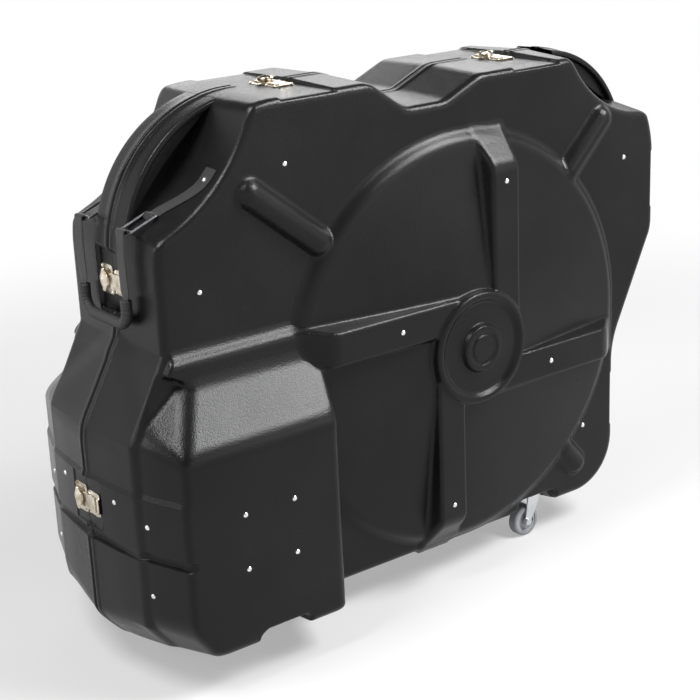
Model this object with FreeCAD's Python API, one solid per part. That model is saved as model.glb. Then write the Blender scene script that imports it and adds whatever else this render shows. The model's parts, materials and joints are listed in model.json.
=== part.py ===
import FreeCAD, Part
import math
import os
from FreeCAD import Vector

# Bike travel case made of two moulded halves hinged along the bottom.
# Lengths are millimetres, X runs along the case, front half at -Y, +Z up.
# Pieces are drawn about the wheel disc centre and moved to the floor when saved.

# Case outline, measured from the disc centre
crown_left = 470.0  # top edge left of the dip
crown_right = 455.0  # top edge right of the dip
dip_floor = 421.0  # lowest part of the top edge
dip_left = -102.0  # start of the dip floor
dip_right = -22.0  # end of the dip floor
dip_run_left = 70.0  # length of the left flank of the dip
dip_run_right = 78.0  # length of the right flank of the dip
neck_reach = 588.0  # left end above the flare
neck_foot = 108.0  # height where the flare starts
flare_out = 76.0  # left end below the flare stands this far past the neck
foot_top = -20.0  # height where the flare ends
right_reach = 490.0  # right end, upper part
waist_top = 112.0  # height where the right end starts to lean in
waist_reach = 390.0  # right end, lower part
waist_foot = -92.0  # height where the lean ends
base_drop = 392.0  # bottom edge at the seam
corner_right = 95.0  # radius of the lower right corner
waist_bend_top = 70.0
waist_bend_low = 160.0
dip_bend = 50.0
flare_bend = 4.0
least_bend = 0.5  # smallest corner radius left inside
half_depth = 135.0  # seam to flat side panel
edge_chamfer = 8.0  # softened edge round the side panel
edge_run = 5.6
wall = 3.0  # moulded sheet thickness
seam_gap = 0.4  # each half stops this far from the seam plane
draft_top = 4.0
draft_left = 5.0
draft_right = 13.0
draft_base = 24.0

# Grip corners
rim_radius_left = 232.0
rim_radius_right = 203.0
rim_width = 15.0  # grip bar left outside the finger pocket
rim_height = 46.0  # grip bar thickness above the seam
pocket_floor = 10.0  # floor of the finger pocket above the seam
scoop_left_out = 87.0  # scoop centre outside the neck
scoop_left_over = 84.0  # and above the crown
scoop_left_radius = 290.0
scoop_right_in = 25.0
scoop_right_over = 97.0
scoop_right_radius = 221.0
scoop_slope = 0.13  # radius lost per millimetre of depth

# Wheel disc, spokes and hub
disc_foot_radius = 366.0
disc_rim_radius = 350.0
disc_rise = 16.0
disc_crown = 43.0  # cone height at the hub above the panel
hub_radius = 104.0
hub_rise = 59.0
hub_dish_radius = 86.0
hub_dish_depth = 6.0
hub_lean = 6.0
boss_radius = 44.0
boss_rise = 3.0
disc_root = 12.0  # disc and spokes start this far below the panel
spoke_width = 57.0
spoke_offset = 64.0
spoke_rise = 52.0
spoke_lean = 0.2  # side slope of the spokes
spoke_flat_end = 305.0
spoke_tip = 346.0
spoke_inset = 2.0

# Half round ribs pointing at the disc centre: angle, first and last radius
rib_radius = 25.0
rib_sink = 7.0
rib_left_angle = 141.5
rib_left_start = 371.0
rib_left_end = 528.0
rib_right_angle = 45.0
rib_right_start = 362.0
rib_right_end = 474.0
rib_low_angle = -48.0
rib_low_start = 362.0
rib_low_end = 408.0

# Bulge over the crank
bulge_rise = 91.0  # above the side panel
facet_run = 50.0  # facet length along the case
bulge_right = 332.0
bulge_right_foot = 302.0
bulge_top = -28.0  # top of the flat front
bulge_slope_top = 62.0  # where the slope meets the panel
bulge_base = 340.0  # lowest part of the flat front
end_draft = 0.1
end_edge = 119.0  # height where the end face turns into the facet
ledge_height = -97.0
ledge_step = 4.0
groove_height = -197.0
groove_tall = 14.0
groove_depth = 4.5
end_corner_tall = 46.0  # cut off the lower left corner
end_corner_long = 42.0
bulge_slope_drop = 86.0  # slope height over its run
bulge_base_bevel = 0.9  # slope of the bevel under the flat front
bulge_tuck = 14.0  # flat panel body kept inside the bulge end
fold_reach = 190.0  # from the seam, where the facet starts to lean in
fold_height = -8.0
fold_slope = 0.96

# Latch seats, flat across the seam
latch_pad = 40.0  # half length of a flat seat across the seam
latch_seat_width = 100.0
top_seat_left_x = -292.0
top_seat_left_sink = 7.0
top_seat_right_x = 186.0
top_seat_right_sink = 8.0
latch_left_x = -269.0
latch_right_x = 204.0
neck_seat_z = 200.0
neck_seat_sink = 6.0
foot_seat_z = -143.0
foot_seat_tall = 80.0
foot_seat_sink = 1.0
right_seat_top_z = 205.0
right_seat_low_z = -203.0
right_seat_sink = 18.0

# Latch pieces
plate_thick = 1.5
plate_long = 48.0
keeper_long = 40.0
plate_start = 3.0  # plates start this far from the seam
plate_end = 38.0
lip_width = 3.0
lip_height = 3.5
post_reach = 20.0  # post distance from the seam
post_radius = 4.0
hook_wide = 26.0
hook_thick = 2.0
hook_nose = 27.0
hook_tail = 35.0
hook_travel = 6.0
wing_boss_radius = 12.0
wing_boss_tall = 4.0
wing_long = 36.0
wing_wide = 15.0
wing_thick = 2.0
small_rivet_radius = 3.0
small_rivet_tall = 1.6
plate_margin = 4.6  # rivets in from the edge of a plate
keeper_margin = 3.4

# Rivets in the shells
rivet_radius = 4.2
rivet_tall = 2.2
shank_radius = 1.9
washer_radius = 4.5
washer_thick = 1.5
crown_rivet_in = 243.0  # from the neck
crown_rivet_down = 105.0  # from the crown
neck_rivet_in = 76.0
neck_rivet_over = 87.0  # above the flare
right_rivet_in = 93.0
right_rivet_down = 198.0
low_rivet_in = 93.0
low_rivet_over = 155.0  # above the bottom edge
spoke_rivet_reach = (277.0, 166.0, 273.0, 166.0)
facet_rivet_height = 151.0
facet_rivet_z = (-145.0, -261.0)
end_rivet_height = 80.0
end_rivet_z = -122.0
bulge_rivet_shift = 4.5  # rivets right of the middle of the flat front
bulge_rivet_z = -184.5
bulge_rivet_pitch = 91.5

# Hinges along the bottom
hinge_drop = 5.0  # pin axis below the bottom edge
hinge_long = 54.0
hinge_leaf = 36.0
hinge_thick = 2.0
knuckle_radius = 4.5
pin_radius = 2.5
hinge_left_room = 124.0  # from the left end
hinge_middle_x = -130.0
hinge_right_x = 265.0

# Castors
castor_right_x = 190.0
castor_left_room = 224.0  # from the left end
castor_depth = 104.0  # from the seam
castor_seat = 345.0  # seat below the disc centre
castor_seat_wide = 98.0
castor_seat_back = 50.0  # seat length behind the castor
castor_height = 86.0
castor_plate_long = 58.0
castor_plate_wide = 46.0
castor_plate_thick = 2.5
race_radius = 14.0
race_tall = 1.2
fork_disc_radius = 19.0
fork_disc_thick = 3.0
fork_inside = 11.5
fork_sheet = 2.5
fork_eye = 7.0
fork_front = 14.0
fork_back = 17.0
fork_lean = 5.0
fork_shoulder = 16.0
kingpin_radius = 4.0
kingpin_head = 7.0
kingpin_head_thick = 2.0
castor_trail = 18.0
wheel_radius = 29.0
tyre_inside = 22.0
tyre_wide = 20.0
hub_wide = 22.4
hub_recess = 2.0
hub_dish = 4.0
hub_wall = 4.0
tyre_round = 4.0
axle_radius = 3.5
axle_head = 6.5
axle_head_thick = 2.5
screw_radius = 3.2
screw_tall = 2.0
screw_margin = 5.5

# Pull handle on the left end
clip_angle = -62.3  # upper bar of the clip, round the scoop
clip_end_out = 1.0  # outside the neck
clip_end_z = 293.0
clip_wire = 2.5
clip_wide = 30.0
loop_radius = 4.8
leg_side = 65.0  # leg distance from the seam
strap_wide = 24.0
strap_thick = 2.0
grip_bottom = 145.0
grip_top = 188.0
grip_bend = 24.0
grip_radius = 9.0
anchor_start = -40.0  # angle of the anchor strap round the scoop
anchor_rivet_angle = -44.0
anchor_rivet_level = 103.0  # from the seam
anchor_sections = 12

# Seam gasket
gasket_reach = 6.0  # into the rear half
gasket_lip = 4.0  # into the front half
gasket_thick = 3.0
gasket_clear = 0.8

# Padding and ties inside
pad_thick = 12.0
pad_left = -400.0
pad_right = 360.0
pad_top = 390.0
pad_low = -330.0
pad_corner = 150.0
tie_wide = 38.0
tie_left_x = -150.0
tie_right_x = 130.0
tie_margin = 30.0
buckle_long = 30.0
buckle_wall = 2.0
buckle_side = 4.0

# Clearances
fit_clear = 0.05  # pins and shafts, on the radius
move_clear = 0.4  # pieces that pass each other
soft_clear = 0.3  # soft pieces
overrun = 5.0  # cutting shapes run this far past what they cut

foot_reach = neck_reach + flare_out
bulge_left = foot_reach - facet_run
scoop_left_x = -neck_reach - scoop_left_out
scoop_left_z = crown_left + scoop_left_over
scoop_right_x = right_reach - scoop_right_in
scoop_right_z = crown_right + scoop_right_over
bulge_rivet_x = bulge_rivet_shift - (bulge_left + bulge_right) / 2
hinge_left_x = hinge_left_room - foot_reach
castor_left_x = castor_left_room - foot_reach
clip_end_x = -neck_reach - clip_end_out
floor_z = castor_seat + castor_height
latch_tall = plate_thick + move_clear * 2 + hook_thick + wing_boss_tall + wing_thick
left_end = foot_reach - foot_seat_sink + latch_tall
centre_x = (left_end - right_reach) / 2

outward = Vector(0, -1, 0)
up = Vector(0, 0, 1)


def save(name, shape):
    placed = shape.copy()
    placed.translate(Vector(centre_x, 0, floor_z))
    placed.exportStep("parts/" + name + ".step")


def group(shapes):
    return Part.makeCompound(shapes)


def rear(shape):
    return shape.mirror(Vector(0, 0, 0), Vector(0, 1, 0))


def place(x, z, height):
    return Vector(x, -height, z)


def rounded_wire(points, height):
    # Closed wire in the plane at this height, each corner with its own radius
    count = len(points)
    arcs = []
    for i, (x, z, radius) in enumerate(points):
        last_x, last_z, skip = points[i - 1]
        next_x, next_z, skip = points[(i + 1) % count]
        corner = place(x, z, height)
        back = Vector(last_x - x, 0, last_z - z).normalize()
        ahead = Vector(next_x - x, 0, next_z - z).normalize()
        half_angle = back.getAngle(ahead) / 2
        reach = radius / math.tan(half_angle)
        inward = (back + ahead).normalize()
        middle = corner + inward * (radius / math.sin(half_angle) - radius)
        arcs.append((corner + back * reach, middle, corner + ahead * reach))
    edges = []
    for i, (first, middle, last) in enumerate(arcs):
        edges.append(Part.Arc(first, middle, last).toShape())
        follow = arcs[(i + 1) % count][0]
        edges.append(Part.LineSegment(last, follow).toShape())
    return Part.Wire(edges)


def inset(points, distance):
    # Moves every side of a counter-clockwise outline inwards
    count = len(points)
    moved = []
    for i, (x, z, radius) in enumerate(points):
        last_x, last_z, skip = points[i - 1]
        next_x, next_z, skip = points[(i + 1) % count]
        come = Vector(x - last_x, z - last_z, 0).normalize()
        leave = Vector(next_x - x, next_z - z, 0).normalize()
        normal_in = Vector(-come.y, come.x, 0)
        normal_out = Vector(-leave.y, leave.x, 0)
        share = distance / (1 + normal_in.dot(normal_out))
        shift = (normal_in + normal_out) * share
        convex = come.x * leave.y - come.y * leave.x > 0
        turned = max(radius - distance, least_bend) if convex else radius + distance
        moved.append((x + shift.x, z + shift.y, turned))
    return moved


def prism(points, low, high):
    face = Part.Face(rounded_wire(points, low))
    return face.extrude(outward * (high - low))


def round_bar(x, z, radius, low, high):
    return Part.makeCylinder(radius, high - low, place(x, z, low), outward)


def cone_bar(x, z, radius_low, radius_high, low, high):
    return Part.makeCone(radius_low, radius_high, high - low, place(x, z, low), outward)


def block(x_low, x_high, low, high, z_low, z_high):
    corner = Vector(x_low, -high, z_low)
    return Part.makeBox(x_high - x_low, high - low, z_high - z_low, corner)


def trim(shape, point, normal):
    # Keeps the material on the inner side of a plane
    size = 2400.0
    cutter = Part.makeBox(size, size, size, Vector(-size / 2, -size / 2, 0))
    turn = FreeCAD.Rotation(up, normal)
    cutter.Placement = FreeCAD.Placement(point, turn)
    return shape.cut(cutter)


def body_outline(share, tuck):
    # Outline at the seam for share 0 and at the panel for 1; tuck draws the lower left end in
    left = -neck_reach + draft_left * share
    right = right_reach - draft_right * share
    waist = waist_reach - draft_right * share
    base = -base_drop + draft_base * share
    top_left = crown_left - draft_top * share
    top_right = crown_right - draft_top * share
    low = dip_floor - draft_top * share
    foot = -foot_reach + tuck
    points = [(left, top_left, rim_radius_left), (left, neck_foot, flare_bend), (foot, foot_top, flare_bend)]
    points += [(foot, base + end_corner_tall, flare_bend), (foot + end_corner_long, base, flare_bend)]
    points += [(waist, base, corner_right), (waist, waist_foot, waist_bend_low)]
    points += [(right, waist_top, waist_bend_top)]
    points += [(right, top_right, rim_radius_right), (dip_right + dip_run_right, top_right, dip_bend)]
    points += [(dip_right, low, dip_bend), (dip_left, low, dip_bend)]
    points += [(dip_left - dip_run_left, top_left, dip_bend)]
    return points


def main_block(depth):
    shoulder = half_depth - edge_chamfer
    start = -overrun if depth else seam_gap
    bend = shoulder - depth / 2
    base = rounded_wire(inset(body_outline(start / half_depth, bulge_tuck), depth), start)
    side = rounded_wire(inset(body_outline(bend / half_depth, bulge_tuck), depth), bend)
    top = rounded_wire(inset(body_outline(1, bulge_tuck), depth + edge_run), half_depth - depth)
    return Part.makeLoft([base, side, top], True, True)


def end_plane(step):
    normal = Vector(-1, -end_draft, 0).normalize()
    return place(-foot_reach, 0, 0) + normal * step, normal


def facet_plane(step):
    edge_x = -foot_reach + end_draft * end_edge
    run = (half_depth + bulge_rise) - end_edge
    rise = -bulge_left - edge_x
    normal = Vector(-run, -rise, 0).normalize()
    return place(edge_x, 0, end_edge) + normal * step, normal


def bulge_block(depth, step):
    # A block trimmed by the flat faces of the bulge, each moved in by depth; step moves the end out
    top = half_depth + bulge_rise
    start = -overrun if depth else seam_gap
    low = -base_drop - overrun
    left = -foot_reach - bulge_rise
    right = bulge_rise - bulge_right_foot
    shape = block(left, right, start, top - depth, low, neck_foot + bulge_rise)
    slope_run = bulge_slope_top - bulge_top
    flare_up = neck_foot - foot_top
    side_run = bulge_right - bulge_right_foot
    fold_point = plane_point(facet_plane(0), fold_reach, fold_height)
    fold_normal = (facet_plane(0)[1] + outward).normalize() + up * fold_slope
    end_corner = place(-foot_reach, -base_drop + end_corner_tall, 0)
    planes = [end_plane(step), facet_plane(step)]
    planes.append((place(-bulge_right, 0, top), Vector(bulge_rise, -side_run, 0)))
    planes.append((place(0, bulge_top, top), Vector(0, -slope_run, bulge_slope_drop)))
    planes.append((place(-foot_reach, foot_top, 0), Vector(-flare_up, -flare_up * end_draft, flare_out)))
    planes.append((fold_point, fold_normal))
    planes.append((place(0, -base_drop, 0), Vector(0, -draft_base, -half_depth)))
    planes.append((end_corner, Vector(-end_corner_tall, -end_corner_tall * end_draft, -end_corner_long)))
    planes.append((place(0, -bulge_base, top), Vector(0, -1, -bulge_base_bevel)))
    for point, normal in planes:
        unit = Vector(normal).normalize()
        shape = trim(shape, point - unit * depth, unit)
    return shape


def belt_block():
    # Lower part of the bulge end, standing a little proud
    shape = bulge_block(0.0, ledge_step)
    shape = trim(shape, place(0, ledge_height, 0), up)
    deep = groove_depth - ledge_step
    ring = bulge_block(0.0, ledge_step + overrun)
    ring = ring.cut(bulge_block(0.0, -deep))
    ring = trim(ring, place(0, groove_height + groove_tall / 2, 0), up)
    ring = trim(ring, place(0, groove_height - groove_tall / 2, 0), up * -1)
    return shape, ring


def spoke(depth):
    half = spoke_width / 2 - depth
    top = half_depth + spoke_rise - depth
    low = half_depth - disc_root
    shape = block(spoke_offset - spoke_width, spoke_offset + spoke_width, low, top, 0, disc_foot_radius)
    shape = trim(shape, place(spoke_offset + half, 0, top), Vector(1, -spoke_lean, 0))
    shape = trim(shape, place(spoke_offset - half, 0, top), Vector(-1, -spoke_lean, 0))
    fall = spoke_rise - disc_rise
    end = Vector(0, -(spoke_tip - spoke_flat_end), fall).normalize()
    shape = trim(shape, place(0, spoke_flat_end, half_depth + spoke_rise) - end * depth, end)
    return shape.common(round_bar(0, 0, disc_rim_radius - spoke_inset - depth, low - 1, top + 1))


def disc_parts(depth):
    rim = half_depth + disc_rise - depth
    low = half_depth - disc_root
    foot = disc_foot_radius - depth
    parts = [round_bar(0, 0, foot, low, half_depth - depth)]
    parts.append(cone_bar(0, 0, foot, disc_rim_radius - depth, half_depth - depth, rim))
    crown = half_depth + disc_crown - depth
    parts.append(cone_bar(0, 0, disc_rim_radius - depth, hub_radius - depth, rim, crown))
    for quarter in range(4):
        arm = spoke(depth)
        arm.rotate(Vector(0, 0, 0), Vector(0, -1, 0), quarter * 90)
        parts.append(arm)
    hub_top = half_depth + hub_rise - depth
    parts.append(cone_bar(0, 0, hub_radius - depth, hub_radius - hub_lean - depth, low, hub_top))
    return parts


def rib(angle, start, end, depth):
    radius = rib_radius - depth
    along = Vector(math.cos(math.radians(angle)), 0, math.sin(math.radians(angle)))
    level = place(0, 0, half_depth - rib_sink)
    bar = Part.makeCylinder(radius, end - start, level + along * start, along)
    tip = Part.makeSphere(radius, level + along * end)
    return bar.fuse(tip)


def ribs(depth):
    made = [rib(rib_left_angle, rib_left_start, rib_left_end, depth)]
    made.append(rib(rib_right_angle, rib_right_start, rib_right_end, depth))
    made.append(rib(rib_low_angle, rib_low_start, rib_low_end, depth))
    return made


def scoop(x, z, radius, grow, low):
    high = half_depth + bulge_rise
    narrow = radius - scoop_slope * (half_depth - low) + grow
    wide = radius + scoop_slope * (high - half_depth) + grow
    return cone_bar(x, z, narrow, wide, low, high)


def grip_cuts(grow):
    cuts = []
    left = (scoop_left_x, scoop_left_z, scoop_left_radius)
    right = (scoop_right_x, scoop_right_z, scoop_right_radius)
    left_rim = (rim_radius_left - neck_reach, crown_left - rim_radius_left, rim_radius_left - rim_width)
    right_rim = (right_reach - rim_radius_right, crown_right - rim_radius_right, rim_radius_right - rim_width)
    for (x, z, radius), (rim_x, rim_z, rim_radius) in ((left, left_rim), (right, right_rim)):
        cuts.append(scoop(x, z, radius, grow, rim_height - grow))
        pocket = scoop(x, z, radius, grow, pocket_floor - grow)
        inside = round_bar(rim_x, rim_z, rim_radius + grow, pocket_floor - grow - 1, rim_height + 5)
        cuts.append(pocket.common(inside))
    return cuts


def right_seats():
    upper = (right_reach - right_seat_sink, right_seat_top_z)
    lower = (waist_reach - right_seat_sink, right_seat_low_z)
    return upper, lower


def seat_cuts(grow):
    # Flat latch seats and the castor seats
    wide = latch_seat_width / 2 + grow
    deep = half_depth + bulge_rise
    start = -gasket_reach - overrun
    far = foot_reach * 1.5
    left_floor = crown_left - top_seat_left_sink - grow
    right_floor = crown_right - top_seat_right_sink - grow
    cuts = [block(top_seat_left_x - wide, top_seat_left_x + wide, start, deep, left_floor, far)]
    cuts.append(block(top_seat_right_x - wide, top_seat_right_x + wide, start, deep, right_floor, far))
    pad = latch_pad + grow
    neck_floor = -neck_reach + neck_seat_sink + grow
    cuts.append(block(-far, neck_floor, start, pad, neck_seat_z - wide, neck_seat_z + wide))
    foot_floor = -foot_reach + foot_seat_sink + grow
    foot_half = foot_seat_tall / 2 + grow
    cuts.append(block(-far, foot_floor, start, pad, foot_seat_z - foot_half, foot_seat_z + foot_half))
    for floor, z in right_seats():
        cuts.append(block(floor - grow, far, start, deep, z - wide, z + wide))
    half = castor_seat_wide / 2 + grow
    back = castor_depth - castor_seat_back - grow
    for castor_x in (castor_right_x, castor_left_x):
        middle = castor_x - castor_trail / 2
        cuts.append(block(middle - half, middle + half, back, far, -far, -castor_seat + grow))
    return cuts


def half_body(depth):
    shape = main_block(depth)
    shape = shape.fuse([bulge_block(depth, 0.0)] + disc_parts(depth) + ribs(depth))
    return shape.cut(grip_cuts(depth))


def plane_point(plane, height, z):
    point, normal = plane
    offset = normal.y * (-height - point.y) + normal.z * (z - point.z)
    return Vector(point.x - offset / normal.x, -height, z)


def rivet_places():
    # Point on the outside, outward direction and sheet thickness there
    spots = [(crown_rivet_in - neck_reach, crown_left - crown_rivet_down)]
    spots.append((neck_rivet_in - neck_reach, neck_foot + neck_rivet_over))
    spots.append((right_reach - right_rivet_in, crown_right - right_rivet_down))
    spots.append((waist_reach - low_rivet_in, low_rivet_over - base_drop))
    found = [(place(x, z, half_depth), outward, wall) for x, z in spots]
    spoke_top = half_depth + spoke_rise
    for quarter, reach in enumerate(spoke_rivet_reach):
        spot = place(spoke_offset, reach, spoke_top)
        turn = FreeCAD.Rotation(outward, quarter * 90)
        found.append((turn.multVec(spot), outward, wall))
    for side_x in (-0.5, 0.5):
        for side_z in (-0.5, 0.5):
            x = bulge_rivet_x + side_x * bulge_rivet_pitch
            z = bulge_rivet_z + side_z * bulge_rivet_pitch
            found.append((place(x, z, half_depth + bulge_rise), outward, wall))
    facet = facet_plane(ledge_step)
    for z in facet_rivet_z:
        found.append((plane_point(facet, facet_rivet_height, z), facet[1], wall + ledge_step))
    end = end_plane(ledge_step)
    found.append((plane_point(end, end_rivet_height, end_rivet_z), end[1], wall + ledge_step))
    return found


def rivet(point, normal, thick):
    crown = Vector(rivet_radius * 0.62, 0, rivet_tall * 0.72)
    head = Part.Arc(Vector(0, 0, rivet_tall), crown, Vector(rivet_radius, 0, 0))
    path = [Vector(rivet_radius, 0, 0), Vector(shank_radius, 0, 0), Vector(shank_radius, 0, -thick)]
    path += [Vector(washer_radius, 0, -thick), Vector(washer_radius, 0, -thick - washer_thick)]
    path += [Vector(0, 0, -thick - washer_thick), Vector(0, 0, rivet_tall)]
    wire = Part.Wire([head.toShape()] + Part.makePolygon(path).Edges)
    shape = Part.Face(wire).revolve(Vector(0, 0, 0), up, 360)
    shape.Placement = FreeCAD.Placement(point, FreeCAD.Rotation(up, normal))
    return shape


def rivet_hole(point, normal, thick):
    start = point + normal * rivet_tall
    return Part.makeCylinder(shank_radius + fit_clear, thick + rivet_tall * 2, start, normal * -1)


def anchor_rivet_place():
    level = anchor_rivet_level
    angle = math.radians(anchor_rivet_angle)
    radius = scoop_wall_radius(level)
    out = Vector(math.cos(angle), 0, math.sin(angle))
    point = place(scoop_left_x, scoop_left_z, level) + out * radius
    normal = (out * -1 + Vector(0, -scoop_slope, 0)).normalize()
    return point, normal


def make_shell():
    belt, groove = belt_block()
    outside = half_body(0.0).fuse(belt).cut([groove] + seat_cuts(0.0))
    top = half_depth + hub_rise
    dish = cone_bar(0, 0, hub_dish_radius - hub_lean, hub_dish_radius, top - hub_dish_depth, top)
    boss = cone_bar(0, 0, boss_radius, boss_radius - hub_lean, top - hub_dish_depth, top + boss_rise)
    outside = outside.cut(dish).fuse(boss)
    inside = half_body(wall).cut(seat_cuts(wall))
    dish_skin = round_bar(0, 0, hub_dish_radius + wall, top - hub_dish_depth - wall, top)
    inside = inside.cut(dish_skin)
    shell = outside.cut(inside)
    holes = [rivet_hole(point, normal, thick) for point, normal, thick in rivet_places()]
    point, normal = anchor_rivet_place()
    holes.append(rivet_hole(point, normal, wall))
    return shell.cut(holes)


def scoop_wall_radius(level):
    return scoop_left_radius - scoop_slope * (half_depth - level)


def clip_top():
    # Upper bar of the clip, just clear of the scoop wall
    radius = scoop_wall_radius(leg_side - clip_wide / 2) - clip_wire - soft_clear
    angle = math.radians(clip_angle)
    return scoop_left_x + radius * math.cos(angle), scoop_left_z + radius * math.sin(angle)


def anchor_end():
    room = clip_wire + soft_clear
    return clip_angle + math.degrees(room / scoop_wall_radius(leg_side))


def anchor_level(angle):
    # Eased from the clip out to the rivet
    share = (angle - clip_angle) / (anchor_rivet_angle - clip_angle)
    share = max(0.0, min(1.0, share))
    return leg_side + (anchor_rivet_level - leg_side) * share * share * (3 - 2 * share)


def anchor_section(angle):
    level = anchor_level(angle)
    turn = math.radians(angle)
    out = Vector(math.cos(turn), 0, math.sin(turn))
    low = level - strap_wide / 2
    high = level + strap_wide / 2
    back = soft_clear + strap_thick
    corners = []
    for side, lift in ((low, soft_clear), (high, soft_clear), (high, back), (low, back)):
        reach = scoop_wall_radius(side) - lift
        corners.append(place(scoop_left_x, scoop_left_z, side) + out * reach)
    return Part.makePolygon(corners + [corners[0]])


def anchor_strap():
    step = (anchor_end() - anchor_start) / anchor_sections
    sections = [anchor_section(anchor_start + step * index) for index in range(anchor_sections + 1)]
    strap = Part.makeLoft(sections, True, True)
    point, normal = anchor_rivet_place()
    hole = Part.makeCylinder(shank_radius + soft_clear, strap_thick * 3, point, normal)
    return strap.cut(hole)


def anchor_rivet():
    point, normal = anchor_rivet_place()
    lift = soft_clear * 2 + strap_thick
    return rivet(point + normal * lift, normal, wall + lift + fit_clear)


def shell_rivets():
    made = [rivet(point, normal, thick) for point, normal, thick in rivet_places()]
    made.append(anchor_rivet())
    return made


def gasket_core(depth):
    share = gasket_reach / half_depth
    outline = inset(body_outline(share, end_draft * gasket_reach), depth)
    return prism(outline, -gasket_reach, gasket_lip).cut(seat_cuts(depth))


def gasket():
    # Ring inside the seam, held by the rear half and reaching a little into the front half
    clear = wall + gasket_clear
    return gasket_core(clear).cut(gasket_core(clear + gasket_thick))


def seats():
    # Seat point on the seam, outward direction and direction along the seam for each latch
    along = Vector(1, 0, 0)
    found = []
    found.append((Vector(latch_left_x, 0, crown_left - top_seat_left_sink), up, along))
    found.append((Vector(latch_right_x, 0, crown_right - top_seat_right_sink), up, along))
    found.append((Vector(-neck_reach + neck_seat_sink, 0, neck_seat_z), along * -1, up))
    found.append((Vector(-foot_reach + foot_seat_sink, 0, foot_seat_z), along * -1, up))
    for floor, z in right_seats():
        found.append((Vector(floor, 0, z), along, up))
    return found


def seated(shape, seat):
    # Local X along the seam, local Y towards the back, local Z out of the case
    point, normal, along = seat
    back = Vector(0, 1, 0)
    across = normal.cross(along)
    flip = across.dot(back) < 0
    first = along * -1 if flip else along
    turn = FreeCAD.Rotation(first, back, normal, "ZXY")
    moved = shape.copy()
    moved.Placement = FreeCAD.Placement(point, turn)
    return moved


def flat(long, y_low, y_high, low, high):
    return Part.makeBox(long, y_high - y_low, high - low, Vector(-long / 2, y_low, low))


def rod(x, y, radius, low, high):
    return Part.makeCylinder(radius, high - low, Vector(x, y, low), up)


hook_low = plate_thick + move_clear
wing_low = hook_low + hook_thick + move_clear


def latch_plate():
    shape = flat(plate_long, plate_start, plate_end, 0, plate_thick)
    post_top = wing_low + wing_boss_tall - move_clear
    return shape.fuse(rod(0, post_reach, post_radius, plate_thick / 2, post_top))


def latch_keeper():
    shape = flat(keeper_long, -plate_end, -plate_start, 0, plate_thick)
    lip = flat(hook_wide, -plate_end, -plate_end + lip_width, plate_thick / 2, plate_thick + lip_height)
    return shape.fuse(lip)


def latch_hook():
    shape = flat(hook_wide, -hook_nose, hook_tail, hook_low, hook_low + hook_thick)
    slot_half = post_radius + move_clear
    top = wing_low
    slot = flat(slot_half * 2, post_reach, post_reach + hook_travel, 0, top)
    ends = [rod(0, y, slot_half, 0, top) for y in (post_reach, post_reach + hook_travel)]
    return shape.cut([slot] + ends)


def latch_wing():
    boss_top = wing_low + wing_boss_tall
    boss = rod(0, post_reach, wing_boss_radius, wing_low, boss_top)
    bore = rod(0, post_reach, post_radius + fit_clear, wing_low, boss_top - move_clear / 2)
    half = wing_wide / 2
    reach = wing_long / 2 - half
    wing = flat(reach * 2, post_reach - half, post_reach + half, boss_top, boss_top + wing_thick)
    tips = [rod(side * reach, post_reach, half, boss_top, boss_top + wing_thick) for side in (-1, 1)]
    return boss.cut(bore).fuse([wing] + tips)


def dome(x, y, low):
    crown = small_rivet_radius * 0.55
    return Part.makeCone(small_rivet_radius, crown, small_rivet_tall, Vector(x, y, low), up)


def plate_rivets():
    side = plate_long / 2 - plate_margin
    rows = (plate_start + plate_margin, plate_end - plate_margin)
    return [dome(x, y, plate_thick) for x in (-side, side) for y in rows]


def keeper_rivets():
    side = keeper_long / 2 - keeper_margin
    rows = (-plate_start - plate_margin, -plate_end + lip_width + plate_margin)
    return [dome(x, y, plate_thick) for x in (-side, side) for y in rows]


def hinge_axis_z():
    return -base_drop - hinge_drop


def knuckle_rows(centre):
    # Five knuckles, three on the rear leaf and two on the front leaf
    pitch = hinge_long / 5
    start = centre - hinge_long / 2
    return [(start + pitch * i + move_clear / 2, start + pitch * (i + 1) - move_clear / 2) for i in range(5)]


def hinge_leaf_piece(centre, picked, others):
    slope = draft_base / half_depth
    axis_z = hinge_axis_z()
    near = hinge_thick
    top_near = -base_drop + slope * near
    top_far = -base_drop + slope * hinge_leaf
    corners = [place(0, top_near, near), place(0, top_far, hinge_leaf)]
    corners += [place(0, top_far - hinge_thick, hinge_leaf), place(0, top_near - hinge_thick, near)]
    face = Part.Face(Part.makePolygon(corners + [corners[0]]))
    leaf = face.extrude(Vector(hinge_long, 0, 0))
    leaf.translate(Vector(centre - hinge_long / 2, 0, 0))
    rows = knuckle_rows(centre)
    start = Vector(0, 0, axis_z)
    along = Vector(1, 0, 0)
    for i in others:
        low, high = rows[i]
        low -= move_clear
        high += move_clear
        room = knuckle_radius + move_clear
        leaf = leaf.cut(Part.makeCylinder(room, high - low, start + along * low, along))
    for i in picked:
        low, high = rows[i]
        leaf = leaf.fuse(Part.makeCylinder(knuckle_radius, high - low, start + along * low, along))
    first = start + along * (centre - hinge_long)
    return leaf.cut(Part.makeCylinder(pin_radius + fit_clear, hinge_long * 2, first, along))


def hinge_pin(centre):
    start = Vector(centre - hinge_long / 2, 0, hinge_axis_z())
    return Part.makeCylinder(pin_radius, hinge_long, start, Vector(1, 0, 0))


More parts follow.
